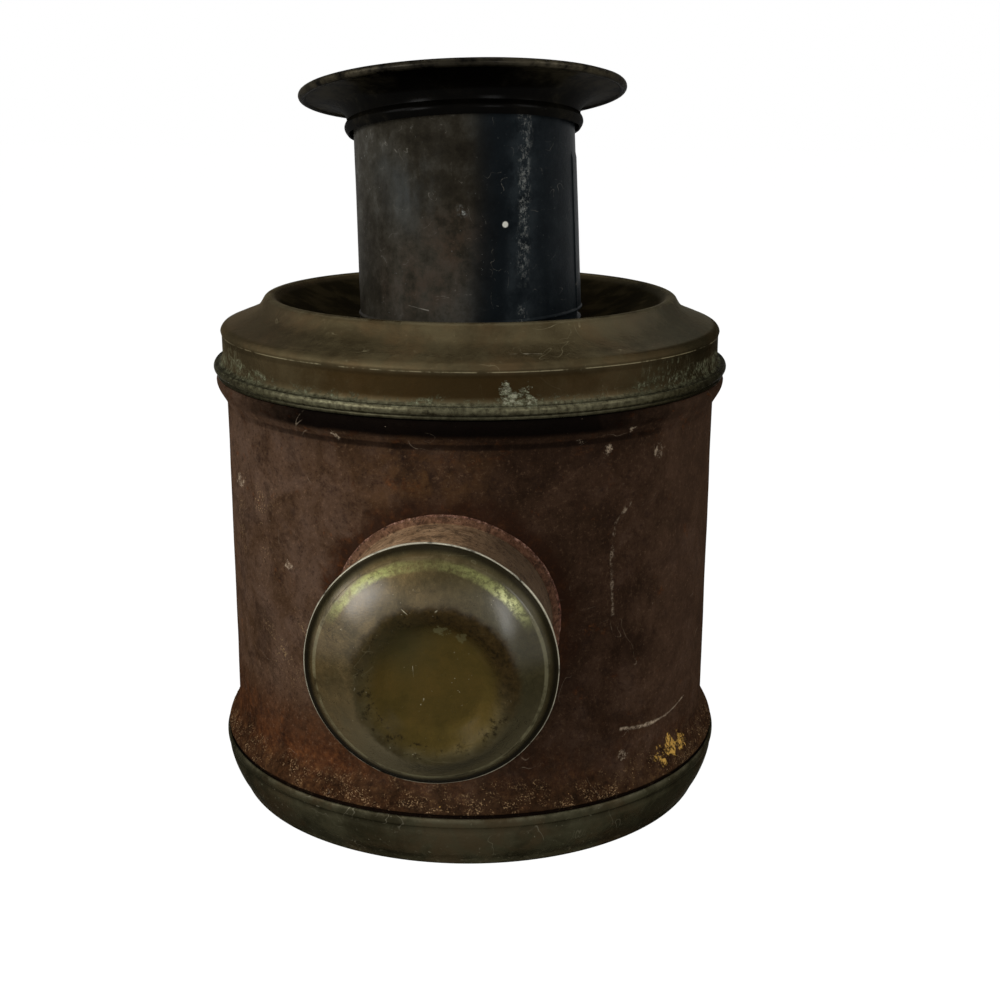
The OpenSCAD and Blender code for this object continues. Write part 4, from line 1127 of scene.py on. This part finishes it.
crumbs = strewn("rust_crumbs", foot_strip(), RUST,
                density=480000, smallest=0.10, largest=0.34, top=36, seed=4)
fit(crumbs, RUST, "case", "drum_iron")

# The base: floor, belly, groove and rolled rim
base_belly = [(98.2, 0), (99.2, 0.0), (100.1, 2.6), (101.8, 5.3), (103.0, 8), (104.0, 10.7),
              (104.75, 13.4), (105.15, 15.4)]
base_groove = [(105.0, 17.0), (105.2, 18.0), (105.7, 18.7)]
base_roll = [(105.85, 19.8), (105.8, 21.2), (105.4, 22.0), (104.8, 22.05), (104.5, 21.5)]
base_path = [(0, 0)] + eased(base_belly + base_groove + base_roll)
base_inner = [(104.3, 20.8), (104.1, 15.4), (103.7, 13.4), (103.0, 10.7), (102.0, 8), (100.8, 5.3),
              (99.1, 2.6), (98.4, 1.3), (97.2, 1.0), (0, 1.0)]
base = turned("base", finer(base_path + base_inner, 18))
fit(base, BASE, "case", "base_brass", "base_pan")

# The crown: two beads, swept skirt, crease, shoulder, cove, rolled lip and dish
BEAD_MID = (102.85, 178.44)
LIP_BEAD_MID = (102.95, 175.8)
SWEEP_TOP_Z = 183.3
CREASE = (CROWN_R + 0.25, 191.7)
DISH_EDGE = (78.5, 204.1)
crown_outer = [(CROWN_R, 174.9)] + arc(LIP_BEAD_MID, 0.9, -110, 62, 8) + arc(BEAD_MID, 2.1, -58, 42, 10)
for i in range(9):
    turn = math.pi / 2 * (1 - i / 8)
    crown_outer.append((CROWN_R + 2.0 * (1 - math.cos(turn)), SWEEP_TOP_Z - 3.6 * math.sin(turn)))
crown_outer += finer([(CROWN_R, 184.2), (CROWN_R, 191.2)], 1.6) + [CREASE]
crown_outer += arc((98.8, SHOULDER_Z), 3, 8, 62, 8)
cove_low = Vector((91.5, 198.26))
cove_high = Vector((LIP_R + LIP_ROUND * math.cos(math.radians(30)), LIP_Z - LIP_ROUND * 0.5))
crown_outer += eased([(98.6, 195.35), (96.7, 196.2), (94.2, 197.1), tuple(cove_low)], 1)
for t in (0.15, 0.3, 0.45, 0.6, 0.75, 0.88):
    hollow = Vector((0.8, 0.8)) * math.sin(math.pi * t)
    crown_outer.append(tuple(cove_low.lerp(cove_high, t) - hollow))
crown_outer += arc((LIP_R, LIP_Z - LIP_ROUND), LIP_ROUND, 30, 150, 14)
edge_r, edge_z = DISH_EDGE
for i in range(13):
    t = 0.08 + 0.92 * i / 12
    crown_outer.append((edge_r - (edge_r - COLLAR_R) * t,
                        edge_z - (edge_z - DISH_Z) * math.sin(math.pi / 2 * t)))
crown_inner_path = [(CROWN_R, 174.9), (CROWN_R, 191.2)] + crown_outer[crown_outer.index(CREASE):]
crown_waves = dented(0.16, 30, 3.0, [
    (-40, -90, 199, 16, 0.5), (70, -66, 200, 14, 0.4), (10, 95, 200, 18, 0.5)])


def crown_push(x, y, z):
    """Dents fade out towards the beads."""
    return crown_waves(x, y, z) * held(z, 178, 184)


crown = turned("crown", crown_outer + beside(crown_inner_path, 1.0)[::-1], push=crown_push)
fit(crown, CROWN, "crown", "crown_brass", "crown_shell")

# The chimney tube with its foot bead and its lap seam
LAP_WAY = -8.0
LAP_HALF = 5.7
LAP_RISE = 0.45
LAP_LOW = 1.2
LAP_HIGH = 62.5
tube_path = [(TUBE_FOOT_R, 0.0)] + arc((TUBE_FOOT_R + 0.1, 0.7), 0.62, -80, 80, 6)
tube_path += finer([(TUBE_FOOT_R - 0.03, 1.6), (TUBE_TOP_R, TUBE_LEN)], 3)
lap_edges = [LAP_WAY + side * (LAP_HALF + off) for side in (-1, 1) for off in (-0.12, 0.12)]
tube_angles = sorted([angle - 180 for angle in all_round(240)] + lap_edges)


def lap(angle, r, h):
    """The seam's outer layer stands out, up to just below the hat."""
    if abs(angle - LAP_WAY) > LAP_HALF or r < TUBE_TOP_R - 0.2 or not LAP_LOW < h < LAP_HIGH:
        return 0
    return LAP_RISE


tube_waves = dented(0.12, 26, 5.0, [(-20, -40, 50, 16, 0.35), (36, -24, 30, 14, 0.3)])


def tube_push(x, y, z):
    """Dents fade out at the foot and under the hat."""
    return tube_waves(x, y, z) * held(z, 60, 52) * held(z, 8, 16)


tube = turned("tube", sheet(tube_path, 0.6), TUBE_FRAME, push=tube_push, angles=tube_angles, bulge=lap)
fit(tube, TUBE, "chimney", "black_tin", "chimney_tube")

# The hat: neck bead, trumpet and rolled edge
hat_path = []
for i in range(13):
    t = i / 12
    bead = 1.2 * math.sin(math.pi * t)
    hat_path.append((HAT_NECK_R + (HAT_THROAT_R - HAT_NECK_R) * t + bead, HAT_BEAD_H * t))
for i in range(1, 15):
    a = math.radians(6 * i)
    hat_path.append((HAT_THROAT_R + (BRIM_R - 1.0 - HAT_THROAT_R) * (1 - math.cos(a)),
                     HAT_BEAD_H + (BRIM_H - 1.1 - HAT_BEAD_H) * math.sin(a)))
roll = arc((BRIM_R, BRIM_H), ROLL_R, -140, 165, 22)
hat_upper = beside(hat_path, 0.6)[::-1]
hat = turned("hat", hat_path + roll + hat_upper, HAT_FRAME,
             push=dented(0.16, 30, 8.0, [(50, -30, 14, 14, 0.5), (-40, 40, 14, 16, 0.5)]))
fit(hat, HAT, "hat", "black_tin", "hat_trumpet")

# The port: tube, and a flange that follows the drum with a ragged edge of solder
port_path = finer([(PORT_R, 86.05), (PORT_R, PORT_REACH - 0.3), (PORT_R - 0.3, PORT_REACH)], 3)
port_tube = turned("port_tube_shell", sheet(port_path, 1.0), PORT_FRAME, angles=all_round(192))
fit(port_tube, PORT, "case", "port_copper", "port_tube")


def flange_piece():
    """The flange lies on the drum, thins out towards its edge and ends in a ragged rim."""
    steps = 14
    count = 220
    inner = PORT_R + 0.05
    verts = []
    for i in range(count):
        turn = 2 * math.pi * i / count
        c = math.cos(turn)
        s = math.sin(turn)
        rag = 0.35 * ripple((c * 40, s * 40, 0), 9, 2) + 0.16 * ripple((c * 40, s * 40, 0), 2.2, 4)
        edge = FLANGE_R - 0.5 + rag
        ring = []
        for k in range(steps + 1):
            t = k / steps
            r = inner + (edge - inner) * t
            rise = 1.15 * (1 - t ** 3) * (1 + 0.25 * ripple((c * r, s * r, 9), 3, 6)) + 0.12
            ring.append((r, rise))
        ring += [(edge, 0.06), (inner, 0.06)]
        for r, rise in ring:
            x = r * c
            z = r * s
            out = math.sqrt((BODY_R + rise) ** 2 - x * x)
            verts.append(Vector((x, -out, PORT_Z + z)) * MM)
    return built("flange", verts, ring_faces(count, len(ring)))


fit(flange_piece(), PORT, "case", "port_copper", "port_flange")

# The cap: rolled rim, sloping wall, crease, ring with its crest well inside, a shallow bowl, and its plug
cap_rim = PORT_R + 4.7
cap_y = PORT_REACH - 1.6
cap_wall = [(cap_rim - 0.75, cap_y + 0.8), (cap_rim - 1.8, cap_y + 2),
            (CAP_CREASE_R + 0.8, CAP_CREASE_Y - 0.7), (CAP_CREASE_R + 0.1, CAP_CREASE_Y - 0.15)]
cap_path = arc((cap_rim - 0.8, cap_y), 0.8, -150, 60, 9) + eased(cap_wall, 1)
for i in range(25):
    t = i / 24
    cap_path.append((CAP_CREASE_R + (CAP_CREST_R - CAP_CREASE_R) * t,
                     CAP_CREASE_Y + CAP_RING_RISE * (1 - (1 - t) ** 1.4)))
for i in range(1, 21):
    t = i / 20
    cap_path.append((CAP_CREST_R + (CAP_BOWL_R - CAP_CREST_R) * t,
                     CAP_CREASE_Y + CAP_RING_RISE - CAP_BOWL_DEPTH * (1 - math.cos(math.pi * t)) / 2))
bowl_y = CAP_CREASE_Y + CAP_RING_RISE - CAP_BOWL_DEPTH
cap_path += [(10, bowl_y), (5, bowl_y), (0, bowl_y)]
cap_waves = dented(0.22, 17, 11.0, [
    (-20, 22, 147, 12, 0.35), (16, 24, 147, 10, 0.3), (30, -8, 146, 9, 0.3)])
cap_shell = turned("cap_shell", sheet(cap_path, 0.7), PORT_FRAME, push=cap_waves)
for vertex in cap_shell.data.vertices:
    # The bowl was pressed in off the middle, towards the lower right
    far = math.hypot(vertex.co.x, vertex.co.z - PORT_Z * MM) / MM
    t = held(far, 38.5, 25)
    vertex.co += Vector((BOWL_ASIDE, 0, BOWL_UP)) * MM * t * t * (3 - 2 * t)
plug_r = 38.32
plug_low = 131.0
plug_top = 143.1
plug_path = [(plug_r - 0.07, plug_low), (plug_r, plug_low + 0.4), (plug_r, plug_top),
             (plug_r - 0.8, plug_top), (plug_r - 0.8, plug_low)]
cap = joined("cap", [cap_shell, turned("cap_plug", plug_path, PORT_FRAME)])
fit(cap, CAP, "cap", "cap_brass", "port_cap")

# Floor, light and camera

def seen_ray(tree):
    """1 for the rays that show the background: seen straight, in a reflection or through glass."""
    path = new_node(tree, "ShaderNodeLightPath").outputs
    total = path["Is Camera Ray"]
    for other in ("Is Glossy Ray", "Is Transmission Ray"):
        highest = new_node(tree, "ShaderNodeMath", {"operation": "MAXIMUM"}, {0: total, 1: path[other]})
        total = highest.outputs[0]
    return total


def backdrop_mix(tree, plain, seen, share):
    """The plain shader, with the given share of the seen one for the rays that show the background."""
    part = new_node(tree, "ShaderNodeMath", {"operation": "MULTIPLY"}, {0: seen_ray(tree), 1: share})
    return new_node(tree, "ShaderNodeMixShader", {}, {
        0: part.outputs[0], 1: plain.outputs[0], 2: seen.outputs[0]}).outputs[0]


def shining(tree, kind, strength):
    """A white emission or background of the given strength."""
    return new_node(tree, kind, {}, {"Color": (1, 1, 1), "Strength": strength})


def floor_paint():
    """A pale matt floor that is seen as white, and still shows the object's shadow."""
    material = bpy.data.materials.new("floor")
    material.use_nodes = True
    tree = material.node_tree
    tree.nodes.clear()
    matt = new_node(tree, "ShaderNodeBsdfDiffuse", {}, {"Color": (0.62, 0.62, 0.61)})
    white = shining(tree, "ShaderNodeEmission", FLOOR_WHITE)
    surface = backdrop_mix(tree, matt, white, FLOOR_SHARE)
    new_node(tree, "ShaderNodeOutputMaterial", {}, {"Surface": surface})
    return material


FLOOR_HALF = 6
FLOOR_Z = -0.0003
FLOOR_WHITE = 1.125
FLOOR_SHARE = 0.88
SKY_LIGHT = 0.16
floor_corners = [(x * FLOOR_HALF, y * FLOOR_HALF, FLOOR_Z) for x, y in ((-1, -1), (1, -1), (1, 1), (-1, 1))]
floor_mesh = bpy.data.meshes.new("floor")
floor_mesh.from_pydata(floor_corners, [], [(0, 1, 2, 3)])
floor_mesh.materials.append(floor_paint())
floor = linked("floor", floor_mesh)

world = bpy.data.worlds.new("studio")
bpy.context.scene.world = world
world.use_nodes = True
sky = world.node_tree
sky.nodes.clear()
sky_light = shining(sky, "ShaderNodeBackground", SKY_LIGHT)
sky_seen = shining(sky, "ShaderNodeBackground", 1.0)
new_node(sky, "ShaderNodeOutputWorld", {}, {"Surface": backdrop_mix(sky, sky_light, sky_seen, 1.0)})

# The camera stands a little to the right of the port and looks down at it
CAMERA_FAR = 0.6238
CAMERA_HIGH = 0.2908
CAMERA_WAY = math.radians(5.65)
YAW, PITCH, ROLL = 0.020, 0.271, 0.005


def camera_matrix():
    """Where the camera stands and how it is turned, from its yaw, pitch and roll."""
    forward = Vector((math.sin(YAW) * math.cos(PITCH), math.cos(YAW) * math.cos(PITCH), -math.sin(PITCH)))
    right = Vector((math.cos(YAW), -math.sin(YAW), 0))
    up = right.cross(forward)
    right, up = (right * math.cos(ROLL) + up * math.sin(ROLL), up * math.cos(ROLL) - right * math.sin(ROLL))
    turn = Matrix.Rotation(CAMERA_WAY, 3, "Z")
    axes = [turn @ right, turn @ up, turn @ -forward]
    matrix = Matrix((axes[0], axes[1], axes[2])).transposed().to_4x4()
    matrix.translation = (CAMERA_FAR * math.sin(CAMERA_WAY), -CAMERA_FAR * math.cos(CAMERA_WAY), CAMERA_HIGH)
    return matrix


SENSOR = 36
FOCAL_SHARE = 1.520
view = bpy.data.cameras.new("camera")
view.sensor_width = SENSOR
view.lens = FOCAL_SHARE * SENSOR
view.clip_start = 0.01
camera = linked("camera", view)
camera.matrix_world = camera_matrix()
bpy.context.scene.camera = camera

# How high the lamps are aimed, in metres
AIM_Z = 0.14


def lamp(name, away, side, high, width, height, power):
    """A soft lamp: metres towards the camera, to its right, and up."""
    matrix = camera_matrix()
    right = Vector((matrix[0][0], matrix[1][0], 0)).normalized()
    back = Vector((right.y, -right.x, 0))
    light = bpy.data.lights.new(name, "AREA")
    light.shape = "RECTANGLE"
    light.size = width
    light.size_y = height
    light.energy = power
    made = linked(name, light)
    made.location = back * away + right * side + Vector((0, 0, high))
    aim = Vector((0, 0, AIM_Z)) - made.location
    made.rotation_euler = aim.to_track_quat("-Z", "Y").to_euler()


lamp("window_left", 0.50, -1.10, 0.72, 0.5, 0.7, 8.2)
lamp("window_right", 0.50, 1.10, 0.72, 0.4, 0.6, 4.6)
lamp("front_left", 0.86, -0.73, 0.42, 0.30, 0.42, 7.8)
lamp("front_right", 0.98, 0.50, 0.36, 0.26, 0.28, 2.7)
lamp("ceiling", 0.1, 0.0, 1.6, 0.9, 0.9, 8.0)

bpy.context.scene.view_settings.view_transform = "Standard"
